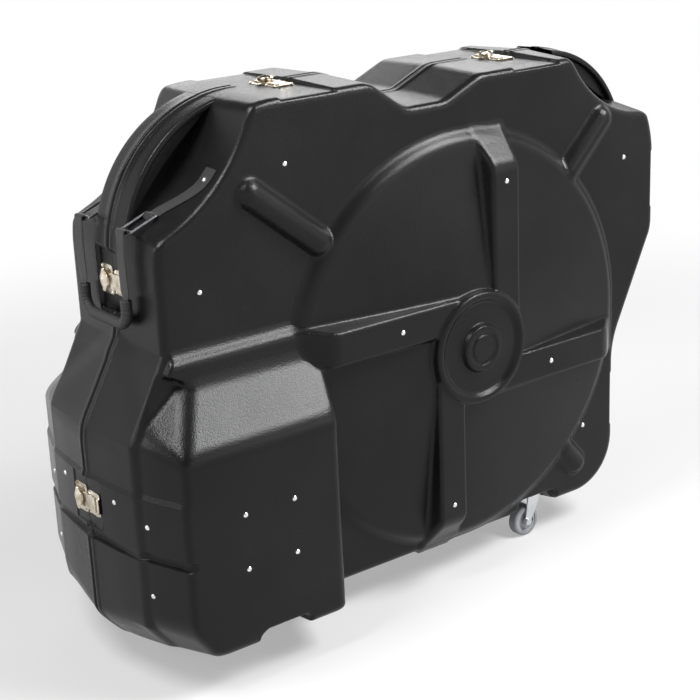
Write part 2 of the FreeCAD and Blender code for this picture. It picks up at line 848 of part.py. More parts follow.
def castor_plate():
    # Local Z is down from the seat, local X along the case
    half_long = castor_plate_long / 2
    half_wide = castor_plate_wide / 2
    low = -castor_plate_thick
    corner = Vector(-half_long, -half_wide, low)
    shape = Part.makeBox(castor_plate_long, castor_plate_wide, castor_plate_thick, corner)
    shape = shape.fuse(rod(0, 0, race_radius, low - race_tall, low / 2))
    disc_top = low - race_tall - move_clear
    head_top = disc_top - fork_disc_thick - move_clear
    head_low = head_top - kingpin_head_thick
    shape = shape.fuse(rod(0, 0, kingpin_radius, head_low, low / 2))
    return shape.fuse(rod(0, 0, kingpin_head, head_low, head_top))


def castor_screws():
    low = -castor_plate_thick - screw_tall
    reach_x = castor_plate_long / 2 - screw_margin
    reach_y = castor_plate_wide / 2 - screw_margin
    spots = [(x, y) for x in (-reach_x, reach_x) for y in (-reach_y, reach_y)]
    return [rod(x, y, screw_radius, low, -castor_plate_thick) for x, y in spots]


axle_z = wheel_radius - castor_height


def castor_fork():
    disc_top = -castor_plate_thick - race_tall - move_clear
    disc = rod(0, 0, fork_disc_radius, disc_top - fork_disc_thick, disc_top)
    outer = fork_inside + fork_sheet
    legs = []
    for side in (-1, 1):
        y = fork_inside if side > 0 else -outer
        corners = [Vector(fork_front, y, disc_top), Vector(-fork_back, y, disc_top)]
        corners += [Vector(-castor_trail - fork_eye, y, axle_z), Vector(-castor_trail + fork_eye, y, axle_z)]
        corners.append(Vector(fork_front - fork_lean, y, disc_top - fork_shoulder))
        face = Part.Face(Part.makePolygon(corners + [corners[0]]))
        leg = face.extrude(Vector(0, fork_sheet, 0))
        eye = Part.makeCylinder(fork_eye, fork_sheet, Vector(-castor_trail, y, axle_z), Vector(0, 1, 0))
        legs.append(leg.fuse(eye))
    bore = rod(0, 0, kingpin_radius + fit_clear, disc_top - fork_shoulder, 0)
    return disc.fuse(legs).cut([bore, across_bar(axle_radius + fit_clear, -outer * 2, outer * 2)])


def across_bar(radius, y_low, y_high):
    return Part.makeCylinder(radius, y_high - y_low, Vector(-castor_trail, y_low, axle_z), Vector(0, 1, 0))


def castor_axle():
    outer = fork_inside + fork_sheet
    shape = across_bar(axle_radius, -outer - axle_head_thick, outer + axle_head_thick)
    heads = [across_bar(axle_head, outer, outer + axle_head_thick)]
    heads.append(across_bar(axle_head, -outer - axle_head_thick, -outer))
    return shape.fuse(heads)


def wheel_hub():
    outer = tyre_wide / 2 - hub_recess
    shape = across_bar(tyre_inside, -outer, outer)
    web = outer - hub_dish
    boss = axle_radius + hub_wall
    for y_low in (web, -outer):
        dish = across_bar(tyre_inside - hub_wall, y_low, y_low + hub_dish)
        shape = shape.cut(dish.cut(across_bar(boss, y_low, y_low + hub_dish)))
    shape = shape.fuse(across_bar(boss, -hub_wide / 2, hub_wide / 2))
    return shape.cut(across_bar(axle_radius + fit_clear, -hub_wide, hub_wide))


def wheel_tyre():
    shape = across_bar(wheel_radius, -tyre_wide / 2, tyre_wide / 2)
    rim_edges = [edge for edge in shape.Edges if edge.Closed]
    shape = shape.makeFillet(tyre_round, rim_edges)
    return shape.cut(across_bar(tyre_inside + fit_clear, -tyre_wide, tyre_wide))


def castor_spots():
    sides = (-castor_depth, castor_depth)
    return [Vector(x, y, -castor_seat) for y in sides for x in (castor_right_x, castor_left_x)]


def moved(shape, spot):
    copy = shape.copy()
    copy.translate(spot)
    return copy


def handle_clip():
    # Rectangular wire ring from the anchor strap to the end of the case
    top_x, top_z = clip_top()
    near = leg_side - clip_wide / 2
    far = leg_side + clip_wide / 2
    corners = [place(top_x, top_z, near), place(top_x, top_z, far)]
    corners += [place(clip_end_x, clip_end_z, far), place(clip_end_x, clip_end_z, near)]
    bars = []
    for corner, follow in zip(corners, corners[1:] + corners[:1]):
        bars.append(Part.makeCylinder(clip_wire, corner.distanceToPoint(follow), corner, follow - corner))
        bars.append(Part.makeSphere(clip_wire, corner))
    return bars[0].fuse(bars[1:])


handle_x = clip_end_x - clip_wire - move_clear - loop_radius
strap_x = handle_x - loop_radius


def handle_leg(side):
    near = side * leg_side - strap_wide / 2
    across = Vector(0, 1, 0)
    start = Vector(handle_x, near, clip_end_z)
    loop = Part.makeCylinder(loop_radius, strap_wide, start, across)
    eye = Part.makeCylinder(loop_radius - strap_thick, strap_wide, start, across)
    bottom = grip_top + soft_clear
    leg = Part.makeBox(strap_thick, strap_wide, clip_end_z - bottom, Vector(strap_x, near, bottom))
    return loop.fuse(leg).cut(eye)


def handle_grip():
    x = strap_x + strap_thick / 2
    side = leg_side
    low = grip_bottom
    bend = grip_bend
    top = grip_top
    drop = math.sqrt(0.5) * bend
    first = Vector(x, -side, top)
    second = Vector(x, -side, low + bend)
    third = Vector(x, -side + bend, low)
    middle = Vector(x, -side + bend - drop, low + bend - drop)
    edges = [Part.LineSegment(first, second).toShape(), Part.Arc(second, middle, third).toShape()]
    fourth = Vector(x, side - bend, low)
    fifth = Vector(x, side, low + bend)
    turn = Vector(x, side - bend + drop, low + bend - drop)
    edges.append(Part.LineSegment(third, fourth).toShape())
    edges.append(Part.Arc(fourth, turn, fifth).toShape())
    edges.append(Part.LineSegment(fifth, Vector(x, side, top)).toShape())
    path = Part.Wire(edges)
    circle = Part.Wire(Part.makeCircle(grip_radius, first, Vector(0, 0, -1)))
    return path.makePipeShell([circle], True, True)


def pad_outline():
    points = [(pad_left, pad_top, pad_corner), (pad_left, pad_low, pad_corner)]
    points += [(pad_right, pad_low, pad_corner), (pad_right, pad_top, pad_corner)]
    return points


pad_high = half_depth - wall - washer_thick - soft_clear
pad_face = pad_high - pad_thick


def pad():
    return prism(pad_outline(), pad_face, pad_high)


tie_high = pad_face - buckle_wall - soft_clear * 2


def tie_strap(x):
    half = tie_wide / 2
    low = tie_high - strap_thick
    return block(x - half, x + half, low, tie_high, pad_low + tie_margin, pad_top - tie_margin)


def tie_buckle(x):
    half = tie_wide / 2 + soft_clear
    low = tie_high - strap_thick - soft_clear
    high = tie_high + soft_clear
    outer = half + buckle_side
    slot = block(x - half, x + half, low, high, -buckle_long, buckle_long)
    end = buckle_long / 2
    frame = block(x - outer, x + outer, low - buckle_wall, high + buckle_wall, -end, end)
    return frame.cut(slot)


os.makedirs("parts", exist_ok=True)

front_shell = make_shell()
save("front_shell", front_shell)
save("rear_shell", rear(front_shell))
front_rivets = group(shell_rivets())
save("front_rivets", front_rivets)
save("rear_rivets", rear(front_rivets))
save("seam_gasket", gasket())

hinge_spots = (hinge_left_x, hinge_middle_x, hinge_right_x)
front_leaves = [hinge_leaf_piece(x, (1, 3), (0, 2, 4)) for x in hinge_spots]
rear_leaves = [rear(hinge_leaf_piece(x, (0, 2, 4), (1, 3))) for x in hinge_spots]
save("front_hinge_leaves", group(front_leaves))
save("rear_hinge_leaves", group(rear_leaves))
save("hinge_pins", group([hinge_pin(x) for x in hinge_spots]))

latch_seats = seats()
latch_names = ("top_left", "top_right", "left_upper", "left_lower", "right_upper", "right_lower")
save("latch_plates", group([seated(latch_plate(), seat) for seat in latch_seats]))
save("latch_keepers", group([seated(latch_keeper(), seat) for seat in latch_seats]))
save("latch_plate_rivets", group([seated(piece, seat) for seat in latch_seats for piece in plate_rivets()]))
save("latch_keeper_rivets", group([seated(piece, seat) for seat in latch_seats for piece in keeper_rivets()]))
for name, seat in zip(latch_names, latch_seats):
    save("latch_hook_" + name, seated(latch_hook(), seat))
    save("latch_wing_" + name, seated(latch_wing(), seat))

spots = castor_spots()
save("front_castor_plates", group([moved(castor_plate(), spot) for spot in spots[:2]]))
save("rear_castor_plates", group([moved(castor_plate(), spot) for spot in spots[2:]]))
save("front_castor_screws", group([moved(piece, spot) for spot in spots[:2] for piece in castor_screws()]))
save("rear_castor_screws", group([moved(piece, spot) for spot in spots[2:] for piece in castor_screws()]))
castor_names = ("front_right", "front_left", "rear_right", "rear_left")
for name, spot in zip(castor_names, spots):
    save("castor_fork_" + name, moved(castor_fork(), spot))
    save("castor_axle_" + name, moved(castor_axle(), spot))
    save("castor_hub_" + name, moved(wheel_hub(), spot))
    save("castor_tyre_" + name, moved(wheel_tyre(), spot))

save("front_anchor_strap", anchor_strap())
save("rear_anchor_strap", rear(anchor_strap()))
save("front_handle_clip", handle_clip())
save("rear_handle_clip", rear(handle_clip()))
save("handle_straps", group([handle_leg(-1), handle_leg(1)]))
save("handle_grip", handle_grip())

front_pad = pad()
front_ties = group([tie_strap(tie_left_x), tie_strap(tie_right_x)])
front_buckles = group([tie_buckle(tie_left_x), tie_buckle(tie_right_x)])
save("front_pad", front_pad)
save("rear_pad", rear(front_pad))
save("front_tie_straps", front_ties)
save("rear_tie_straps", rear(front_ties))
save("front_tie_buckles", front_buckles)
save("rear_tie_buckles", rear(front_buckles))
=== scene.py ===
import bpy
import json
import math
from functools import reduce
import numpy as np
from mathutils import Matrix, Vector


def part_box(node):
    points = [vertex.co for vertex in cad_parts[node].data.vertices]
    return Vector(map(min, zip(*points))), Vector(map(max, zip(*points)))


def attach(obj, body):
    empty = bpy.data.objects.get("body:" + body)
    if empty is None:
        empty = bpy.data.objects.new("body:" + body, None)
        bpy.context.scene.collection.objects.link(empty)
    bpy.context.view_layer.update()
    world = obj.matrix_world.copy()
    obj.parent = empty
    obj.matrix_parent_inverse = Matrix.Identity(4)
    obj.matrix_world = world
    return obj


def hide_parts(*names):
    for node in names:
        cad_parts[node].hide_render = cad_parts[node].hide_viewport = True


# Travel case for a bike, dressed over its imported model. Metres in Blender, millimetres in the shape sums.
# Shape sums use u along the case and v up, both from the wheel disc centre, and h out from the seam.

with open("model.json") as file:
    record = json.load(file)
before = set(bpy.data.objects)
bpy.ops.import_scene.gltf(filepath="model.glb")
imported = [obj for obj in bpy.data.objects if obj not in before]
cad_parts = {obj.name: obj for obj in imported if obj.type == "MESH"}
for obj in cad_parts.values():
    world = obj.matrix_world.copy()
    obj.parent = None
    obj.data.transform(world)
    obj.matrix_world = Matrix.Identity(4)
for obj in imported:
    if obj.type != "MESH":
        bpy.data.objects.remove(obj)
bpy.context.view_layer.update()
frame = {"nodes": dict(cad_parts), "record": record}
nodes = frame["nodes"]
print("frame loaded:", len(nodes), "nodes")

place = dict(across=91.65, up=431.0)  # disc centre in the frame
halves = (("front", -1, "front_half"), ("rear", 1, "rear_half"))  # name, side of the seam, body


def stack(*parts):
    return np.stack(np.broadcast_arrays(*parts), axis=-1)


def circle(count):
    return np.linspace(0, 2 * np.pi, count, endpoint=False)


def atFrame(u, y, v):
    # millimetres in the frame
    return stack(u + place["across"], y, v + place["up"])


def toFrame(points, side):
    # u, v, h to metres; side is -1 for the front half and 1 for the rear half
    return atFrame(points[..., 0], side * points[..., 2], points[..., 1]) / 1000.0


def unit(vectors):
    return vectors / np.maximum(np.linalg.norm(vectors, axis=-1, keepdims=True), 1e-9)


def addObject(name, data):
    thing = bpy.data.objects.new(name, data)
    bpy.context.scene.collection.objects.link(thing)
    return thing


# Camera at the photograph's place
eye = dict(spot=(-1.60044, -2.11077, 1.30221), turn=(1.2435287, 0.0410962, -0.6486973),
           lens=81.75, sensor=36, far=60)


def placeCamera():
    data = bpy.data.cameras.new("camera")
    data.lens, data.sensor_width, data.clip_end = eye["lens"], eye["sensor"], eye["far"]
    camera = addObject("camera", data)
    camera.location, camera.rotation_euler = eye["spot"], eye["turn"]
    bpy.context.scene.camera = camera


placeCamera()


def feed(socket, value):
    # a plain value, or a link from another node's output
    if isinstance(value, bpy.types.NodeSocket):
        socket.id_data.links.new(value, socket)
    else:
        socket.default_value = value


def setSockets(node, values):
    # values by socket name, an underline for each space
    for label, value in values.items():
        feed(node.inputs[label.replace("_", " ")], value)
    return node


def addNode(tree, kind, **values):
    return setSockets(tree.nodes.new("ShaderNode" + kind), values)


def addMath(tree, kind, *values):
    node = addNode(tree, "Math")
    node.operation = kind
    for socket, value in zip(node.inputs, values):
        feed(socket, value)
    return node.outputs[0]


def times(tree, first, second):
    return addMath(tree, "MULTIPLY", first, second)


def addRange(tree, source, low, high, start=0.0, end=1.0, smooth=False):
    # spread of a value: start to end becomes low to high
    node = addNode(tree, "MapRange", Value=source, From_Min=start, From_Max=end, To_Min=low, To_Max=high)
    if smooth:
        node.interpolation_type = "SMOOTHSTEP"
    return node.outputs[0]


def newFinish(name, rough, metal=0.0, specular=0.5):
    # material, its tree and its shader's inputs
    mat = bpy.data.materials.new(name)
    mat.use_nodes = True
    shader = mat.node_tree.nodes["Principled BSDF"]
    setSockets(shader, dict(Roughness=rough, Metallic=metal, Specular_IOR_Level=specular))
    return mat, mat.node_tree, shader.inputs


# Floor, world and lamps
studio = dict(floorTone=(0.56, 0.56, 0.56), floorRough=0.8, floorShine=0.15, floorLift=0.36, fade=(1.0, 2.6),
              floorReach=14.0, skyTone=(1.0, 0.05), skyBand=(0.30, 0.62))
lamps = dict(
    key=dict(spot=(1.35, -1.50, 2.60), aim=(-0.2, -0.1, 0.4), size=(1.5, 1.2), watts=150),
    over=dict(spot=(-1.50, -0.15, 2.60), aim=(-0.5, -0.1, 0.4), size=(0.9, 1.1), watts=58),
    front=dict(spot=(1.55, -2.70, 1.15), aim=(-0.2, -0.1, 0.7), size=(1.2, 0.7), watts=7),
    left=dict(spot=(-2.7, 0.9, 1.5), aim=(-0.2, 0.0, 0.5), size=(0.9, 1.3), watts=16),
    back=dict(spot=(1.50, 2.30, 1.75), aim=(0.0, 0.0, 0.85), size=(2.0, 0.8), watts=11))


def makeFloorPaper():
    # pale paper that keeps the shadow near the case and runs out to white further off
    mat, tree, shader = newFinish("floorPaper", studio["floorRough"], specular=studio["floorShine"])
    feed(shader["Base Color"], (*studio["floorTone"], 1))
    reach = addNode(tree, "VectorMath")
    reach.operation = "LENGTH"
    feed(reach.inputs[0], addNode(tree, "TexCoord").outputs["Object"])
    fade = addRange(tree, reach.outputs["Value"], studio["floorLift"], 1.0, *studio["fade"], smooth=True)
    rays = addNode(tree, "LightPath").outputs
    seen = addMath(tree, "MAXIMUM", rays["Is Camera Ray"], rays["Is Glossy Ray"])
    seen = addMath(tree, "MAXIMUM", seen, rays["Is Transmission Ray"])
    mix = addNode(tree, "MixShader", Fac=times(tree, fade, seen))
    feed(mix.inputs[1], tree.nodes["Principled BSDF"].outputs["BSDF"])
    feed(mix.inputs[2], addNode(tree, "Emission").outputs["Emission"])
    feed(tree.nodes["Material Output"].inputs["Surface"], mix.outputs["Shader"])
    return mat


def makeStudio():
    # white horizon and dim top, the same for every ray
    scene = bpy.context.scene
    scene.view_settings.view_transform = "Standard"
    scene.world = bpy.data.worlds.new("studio")
    scene.world.use_nodes = True
    tree = scene.world.node_tree
    tree.nodes.clear()
    apart = addNode(tree, "SeparateXYZ", Vector=addNode(tree, "TexCoord").outputs["Generated"])
    sky = addRange(tree, apart.outputs["Z"], *studio["skyTone"], *studio["skyBand"], smooth=True)
    fill = addNode(tree, "Background", Color=(1, 1, 1, 1), Strength=sky)
    addNode(tree, "OutputWorld", Surface=fill.outputs["Background"])
    for name, lamp in lamps.items():
        data = bpy.data.lights.new("lamp_" + name, "AREA")
        data.shape = "RECTANGLE"
        data.size, data.size_y = lamp["size"]
        data.energy = lamp["watts"]
        light = addObject("lamp_" + name, data)
        light.location = lamp["spot"]
        light.visible_camera = False
        aim = Vector(lamp["aim"]) - Vector(lamp["spot"])
        light.rotation_euler = aim.to_track_quat("-Z", "Y").to_euler()
    mesh = bpy.data.meshes.new("floor")
    far = studio["floorReach"]
    mesh.from_pydata([(-far, -far, 0), (far, -far, 0), (far, far, 0), (-far, far, 0)], [], [(0, 1, 2, 3)])
    mesh.materials.append(makeFloorPaper())
    addObject("floor", mesh)


makeStudio()
print("camera, lamps and floor placed")


# Shader groups shared by several finishes
def newGroup(name, inputs, outputs):
    group = bpy.data.node_groups.new(name, "ShaderNodeTree")
    for way, labels in (("INPUT", inputs), ("OUTPUT", outputs)):
        for label in labels:
            group.interface.new_socket(name=label, in_out=way, socket_type="NodeSocketFloat")
    return group, group.nodes.new("NodeGroupInput").outputs, group.nodes.new("NodeGroupOutput").inputs


def addNoise(tree, where, scale, detail=2.0):
    return addNode(tree, "TexNoise", Vector=where, Scale=scale, Detail=detail).outputs[0]


def makeGrainGroup():
    # leather grain: rounded cells over a finer noise, and a slow unevenness for colour and gloss
    scales = ("Cell Scale", "Fine Scale", "Patch Scale")
    group, given, out = newGroup("leatherGrain", scales, ("Height", "Patch"))
    where = addNode(group, "TexCoord").outputs["Object"]
    cells = addNode(group, "TexVoronoi", Vector=where, Scale=given["Cell Scale"])
    cells.feature = "SMOOTH_F1"
    feed(cells.inputs["Smoothness"], 0.35)
    bumps = times(group, cells.outputs["Distance"], -1.0)
    speck = times(group, addNoise(group, where, given["Fine Scale"]), 0.45)
    feed(out["Height"], addMath(group, "ADD", bumps, speck))
    feed(out["Patch"], addNoise(group, where, given["Patch Scale"], 3.0))
    return group


def makeWearGroup():
    # worn marks along sharp edges, and a thin dust that settles on faces that look up
    group, given, out = newGroup("edgeWear", ("Edge", "Dust"), ("Worn", "Dusty"))
    shape = addNode(group, "NewGeometry").outputs
    noise = addNoise(group, addNode(group, "TexCoord").outputs["Object"], 60.0, 4.0)
    up = addNode(group, "SeparateXYZ", Vector=shape["Normal"]).outputs["Z"]
    for source, start, end, amount, result in (
            (shape["Pointiness"], 0.52, 0.62, "Edge", "Worn"), (up, 0.3, 1.0, "Dust", "Dusty")):
        broken = times(group, addRange(group, source, 0.0, 1.0, start, end), noise)
        feed(out[result], times(group, broken, given[amount]))
    return group


def makeWeaveGroup():
    # webbing weave from the piece's own UV map: ribs along the band crossed by picks, both sine waves; its
    # height also gives painted shade, darker in the weave's hollows and lighter on its crests
    group, given, out = newGroup("bandWeave", ("Ribs", "Picks"), ("Height", "PaintedWeaveShade"))
    band = addNode(group, "SeparateXYZ", Vector=addNode(group, "TexCoord").outputs["UV"]).outputs
    across = times(group, band["X"], given["Ribs"])
    along = times(group, band["Y"], given["Picks"])
    half = times(group, addMath(group, "FLOOR", across), 0.5)
    ribs = addMath(group, "SINE", times(group, across, 2 * math.pi))
    picks = addMath(group, "SINE", times(group, addMath(group, "ADD", along, half), 2 * math.pi))
    both = addMath(group, "ADD", times(group, ribs, 0.5), picks)
    feed(out["Height"], both)
    # painted shade: a tone from the weave's height, low in the hollows and high on the crests
    feed(out["PaintedWeaveShade"], addMath(group, "ADD", times(group, both, 0.3), 0.5))
    return group


def makeBrushGroup():
    # drawn or plated metal: a stretched noise for fine lines and a slow cloud for tarnish
    group, given, out = newGroup("metalLines", ("Line Scale", "Cloud Scale"), ("Lines", "Cloud"))
    where = addNode(group, "TexCoord").outputs["Object"]
    stretch = addNode(group, "Mapping", Vector=where, Scale=(1.0, 8.0, 1.0)).outputs["Vector"]
    feed(out["Lines"], addNoise(group, stretch, given["Line Scale"]))
    feed(out["Cloud"], addNoise(group, where, given["Cloud Scale"], 4.0))
    return group


grainGroup = makeGrainGroup()
wearGroup = makeWearGroup()
weaveGroup = makeWeaveGroup()
brushGroup = makeBrushGroup()
print("shader groups made")


def addGroup(tree, group, **values):
    node = addNode(tree, "Group")
    node.node_tree = group
    return setSockets(node, values).outputs


patchBand = (0.3, 0.7)  # where most of a noise's values lie


def setTone(shader, source, low, high, band=patchBand):
    # base colour between two by a value; gives the colour's output too
    ramp = addNode(source.id_data, "ValToRGB", Fac=source)
    for element, spot, colour in zip(ramp.color_ramp.elements, band, (low, high)):
        element.position = spot
        element.color = (*colour, 1)
    feed(shader["Base Color"], ramp.outputs["Color"])
    return ramp.outputs["Color"]


def setRough(shader, source, low, high, band=patchBand):
    feed(shader["Roughness"], addRange(source.id_data, source, low, high, *band))


def setBump(shader, height, strength, distance):
    bump = addNode(height.id_data, "Bump", Strength=strength, Distance=distance, Height=height)
    feed(shader["Normal"], bump.outputs["Normal"])


def mixOver(shader, share, tone, colour):
    # base colour moved from a tone to a plain colour by a share
    mix = addNode(tone.id_data, "Mix")
    mix.data_type = "RGBA"
    setSockets(mix, dict(Factor=share, A=tone, B=(*colour, 1)))
    feed(shader["Base Color"], mix.outputs["Result"])


def grey(level):
    return (level, level, level)


shellLook = dict(dark=(0.0040, 0.0040, 0.0042), light=(0.0075, 0.0075, 0.0078), dust=grey(0.08),
                 gloss=0.24, smoother=0.04, rougher=0.05, shine=0.18, bump=0.5, deep=0.0005,
                 grain=dict(Cell_Scale=400.0, Fine_Scale=1200.0, Patch_Scale=5.0),
                 wear=dict(Edge=0.25, Dust=0.10))
metalLook = dict(lines=dict(Line_Scale=500.0, Cloud_Scale=55.0), smoother=0.06, rougher=0.10,
                 bump=0.08, deep=0.0002)
plainLook = dict(finer=3.0, patch=24.0, wear=dict(Edge=0.4, Dust=0.12), paler=2.2, lift=0.03, smoother=0.05,
                 rougher=0.08, deep=0.0004)
webLook = dict(gloss=0.75, shine=0.3, band=(0.2, 0.8), rough=(0.82, 0.62), bump=0.6, deep=0.0003, sheen=0.15)


def makeShellFinish(name, roughShift):
    look = shellLook
    mat, tree, shader = newFinish(name, look["gloss"], specular=look["shine"])
    grain = addGroup(tree, grainGroup, **look["grain"])
    wear = addGroup(tree, wearGroup, **look["wear"])
    tone = setTone(shader, grain["Patch"], look["dark"], look["light"])
    mixOver(shader, wear["Dusty"], tone, look["dust"])
    rough = look["gloss"] + look["rougher"] + roughShift
    setRough(shader, grain["Patch"], look["gloss"] - look["smoother"], rough)
    setBump(shader, grain["Height"], look["bump"], look["deep"])
    return mat


def makeMetalFinish(name, dark, light, rough):
    look = metalLook
    mat, tree, shader = newFinish(name, rough, metal=1.0)
    lines = addGroup(tree, brushGroup, **look["lines"])
    setTone(shader, lines["Cloud"], dark, light)
    setRough(shader, lines["Lines"], rough - look["smoother"], rough + look["rougher"])
    setBump(shader, lines["Lines"], look["bump"], look["deep"])
    return mat


def makePlainFinish(name, dark, light, rough, cell, bump):
    # plain grey, worn paler along its edges
    look = plainLook
    mat, tree, shader = newFinish(name, rough)
    fine = cell * look["finer"]
    grain = addGroup(tree, grainGroup, Cell_Scale=cell, Fine_Scale=fine, Patch_Scale=look["patch"])
    wear = addGroup(tree, wearGroup, **look["wear"])
    tone = setTone(shader, grain["Patch"], dark, light)
    mixOver(shader, wear["Worn"], tone, [min(1.0, look["paler"] * x + look["lift"]) for x in light])
    setRough(shader, grain["Patch"], rough - look["smoother"], rough + look["rougher"])
    setBump(shader, grain["Height"], bump, look["deep"])
    return mat


def makeWebFinish(name, dark, light, ribs, picks):
    look = webLook
    mat, tree, shader = newFinish(name, look["gloss"], specular=look["shine"])
    weave = addGroup(tree, weaveGroup, Ribs=ribs, Picks=picks)
    # base colour from the weave's height: painted shade in its hollows, lighter on its crests; the same value
    # sets the gloss
    setTone(shader, weave["PaintedWeaveShade"], dark, light, look["band"])
    setRough(shader, weave["PaintedWeaveShade"], *look["rough"], (0.0, 1.0))
    setBump(shader, weave["Height"], look["bump"], look["deep"])
    feed(shader["Sheen Weight"], look["sheen"])
    return mat


finishBySlot = dict(
    black_shell=makeShellFinish("grainedBlackShell", 0.0),
    nickel_plate=makeMetalFinish("nickelPlate", (0.36, 0.29, 0.20), (0.87, 0.81, 0.70), 0.20),
    zinc_steel=makeMetalFinish("zincSteel", (0.50, 0.51, 0.53), (0.66, 0.67, 0.69), 0.30),
    black_nylon=makePlainFinish("blackNylon", grey(0.012), grey(0.022), 0.45, 700.0, 0.15),
    black_rubber=makePlainFinish("blackRubber", grey(0.010), grey(0.018), 0.58, 900.0, 0.25),
    grey_tyre=makePlainFinish("greyTyre", (0.16, 0.17, 0.18), (0.22, 0.23, 0.24), 0.60, 800.0, 0.20),
    grey_nylon=makePlainFinish("greyNylon", (0.20, 0.21, 0.22), (0.27, 0.28, 0.29), 0.48, 900.0, 0.15),
    grey_foam=makePlainFinish("greyFoam", (0.055, 0.056, 0.060), (0.085, 0.086, 0.090), 0.92, 420.0, 0.9),
    black_webbing=makeWebFinish("blackWebbing", grey(0.006), grey(0.022), 9.0, 420.0))
insideShell = makeShellFinish("insideBlackShell", 0.10)
thread = makePlainFinish("waxedThread", grey(0.014), grey(0.030), 0.55, 1500.0, 0.3)
darkSteel = makeMetalFinish("darkSteel", (0.16, 0.16, 0.17), (0.26, 0.26, 0.27), 0.34)
rivetSilver = makeMetalFinish("rivetSilver", (0.66, 0.66, 0.67), (0.84, 0.84, 0.85), 0.22)
print("finishes made")


def dressNodes():
    # every carried-over node takes the finish of its record slot, apart from clips and shell rivets
    for row in frame["record"]["subparts"]:
        mesh = nodes[row["node"]].data
        mesh.materials.clear()
        finish = finishBySlot[row["material_slot"]]
        if row["node"].endswith("handle_clip"):
            finish = darkSteel
        if row["node"] in ("front_rivets", "rear_rivets"):
            finish = rivetSilver
        mesh.materials.append(finish)


dressNodes()


def addPiece(name, points, body, slot, *hides, finish=None, normals=None, flip=None, across=None):
    # grid of rows by columns, whose columns close on themselves, to a mesh of quads that rides on a body
    # with no flip given, the sum of a dot b cross c over the faces says which way is out
    rows, cols = points.shape[:2]
    here = np.arange(rows * cols).reshape(rows, cols)
    ahead = np.roll(here, -1, axis=1)
    quads = stack(here[:-1], ahead[:-1], ahead[1:], here[1:]).reshape(-1, 4)
    flat = points.reshape(-1, 3)
    if flip is None:
        a, b, c, d = (flat[quads[:, i]] - flat.mean(0) for i in range(4))
        flip = (a * np.cross(b, c)).sum() + (a * np.cross(c, d)).sum() < 0
    if flip:
        quads = quads[:, ::-1]
    mesh = bpy.data.meshes.new(name)
    mesh.vertices.add(rows * cols)
    mesh.vertices.foreach_set("co", flat.reshape(-1).astype(np.float32))
    mesh.loops.add(quads.size)
    mesh.loops.foreach_set("vertex_index", quads.reshape(-1).astype(np.int32))
    mesh.polygons.add(len(quads))
    mesh.polygons.foreach_set("loop_start", np.arange(0, quads.size, 4, dtype=np.int32))
    mesh.update(calc_edges=True)
    mesh.polygons.foreach_set("use_smooth", np.ones(len(quads), dtype=bool))
    if across is not None:
        layer = mesh.uv_layers.new(name="band")
        layer.data.foreach_set("uv", across.reshape(-1, 2)[quads.reshape(-1)].reshape(-1).astype(np.float32))
    if normals is not None:
        mesh.normals_split_custom_set_from_vertices(normals.reshape(-1, 3).tolist())
    mesh.materials.append(finish or finishBySlot[slot])
    piece = addObject(name, mesh)
    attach(piece, body)
    if hides:
        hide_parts(*hides)
    return piece


def softMax(a, b, k):
    # larger of two distances, eased over a band k wide, which rounds an outer edge
    return np.maximum(a, b) + np.maximum(k - np.abs(a - b), 0) ** 2 / (4 * k)


def softMin(a, b, k):
    # smaller of two distances, eased over a band k wide, which fills an inner corner
    return np.minimum(a, b) - np.maximum(k - np.abs(a - b), 0) ** 2 / (4 * k)


def easeStep(x):
    t = np.clip(x, 0, 1)
    return t * t * (3 - 2 * t)


# Moulded halves
caseForm = dict(
    panel=135.0, wall=3.0, edgeRound=14.0, tuck=14.0, lip=1.2, lipBand=((2.5, 2.0), (13.0, 2.5)),
    lipGroove=2.2, lipGrooveBand=(3.0, 1.6),
    drafts=dict(left=5.0, right=13.0, top=4.0, base=24.0),
    crownLeft=470.0, crownRight=455.0, dipFloor=421.0, dip=(-102.0, -22.0), dipRun=(70.0, 78.0),
    neck=588.0, neckFoot=108.0, foot=664.0, footTop=-20.0, right=490.0, waistTop=112.0, waist=390.0,
    waistFoot=-92.0, base=392.0, rimLeft=232.0, rimRight=203.0, endCorner=(42.0, 46.0), endRound=4.0, heel=95.0,
    waistRound=160.0, shoulder=70.0, dipRound=50.0,
    scoops=((-675.0, 554.0, 290.0), (465.0, 552.0, 221.0)), scoopSlope=0.13, scoopRound=12.0)
discForm = dict(
    foot=366.0, rim=350.0, rise=16.0, crown=43.0, hub=104.0, hubTop=59.0, hubLean=6.0, root=12.0,
    spokeOffset=64.0, spokeHalf=28.5, spokeTop=52.0, spokeLean=0.2, spokeFlat=305.0, spokeTip=346.0,
    armStart=8.0, tipSoft=1.6, edgeRound=6.5, fillet=6.0, hubFillet=4.8,
    rings=(0.0, 22.0, 24.5, 28.0, 30.5, 37.0, 39.5, 44.0, 46.5, 77.0, 80.0, 87.5, 90.0, 120.0),
    tops=(62.0, 62.0, 60.0, 60.0, 62.0, 62.0, 61.0, 52.0, 51.2, 51.2, 52.4, 58.6, 59.0, 59.0))
ribForm = dict(radius=25.0, sink=7.0, fillet=7.0,
               bars=((141.5, 371.0, 528.0), (45.0, 362.0, 474.0), (-48.0, 362.0, 408.0)))
bulgeForm = dict(
    top=226.0, left=614.0, right=332.0, rightFoot=302.0, slopeEdge=-28.0, slopeTop=62.0, slopeDrop=75.0,
    endDraft=0.1, endEdge=119.0, fold=(-0.58, 0.71, 0.40), cornerCut=315.0, cornerDrop=0.72, lowEdge=366.0,
    bevel=0.9, baseRise=26.0,
    ledge=-97.0, ledgeStep=3.7, ledgeTall=9.0, groove=-197.0, grooveTall=15.0, grooveEase=4.0, grooveDeep=8.0,
    edgeRound=13.0, frontRound=9.0, fillet=12.0,
    skirt=151.0, skirtTop=102.0, skirtRight=322.0, skirtRound=6.0, skirtFillet=8.0,
    skirtFoot=((-553.0, 62.0), (-0.48, -0.88)))
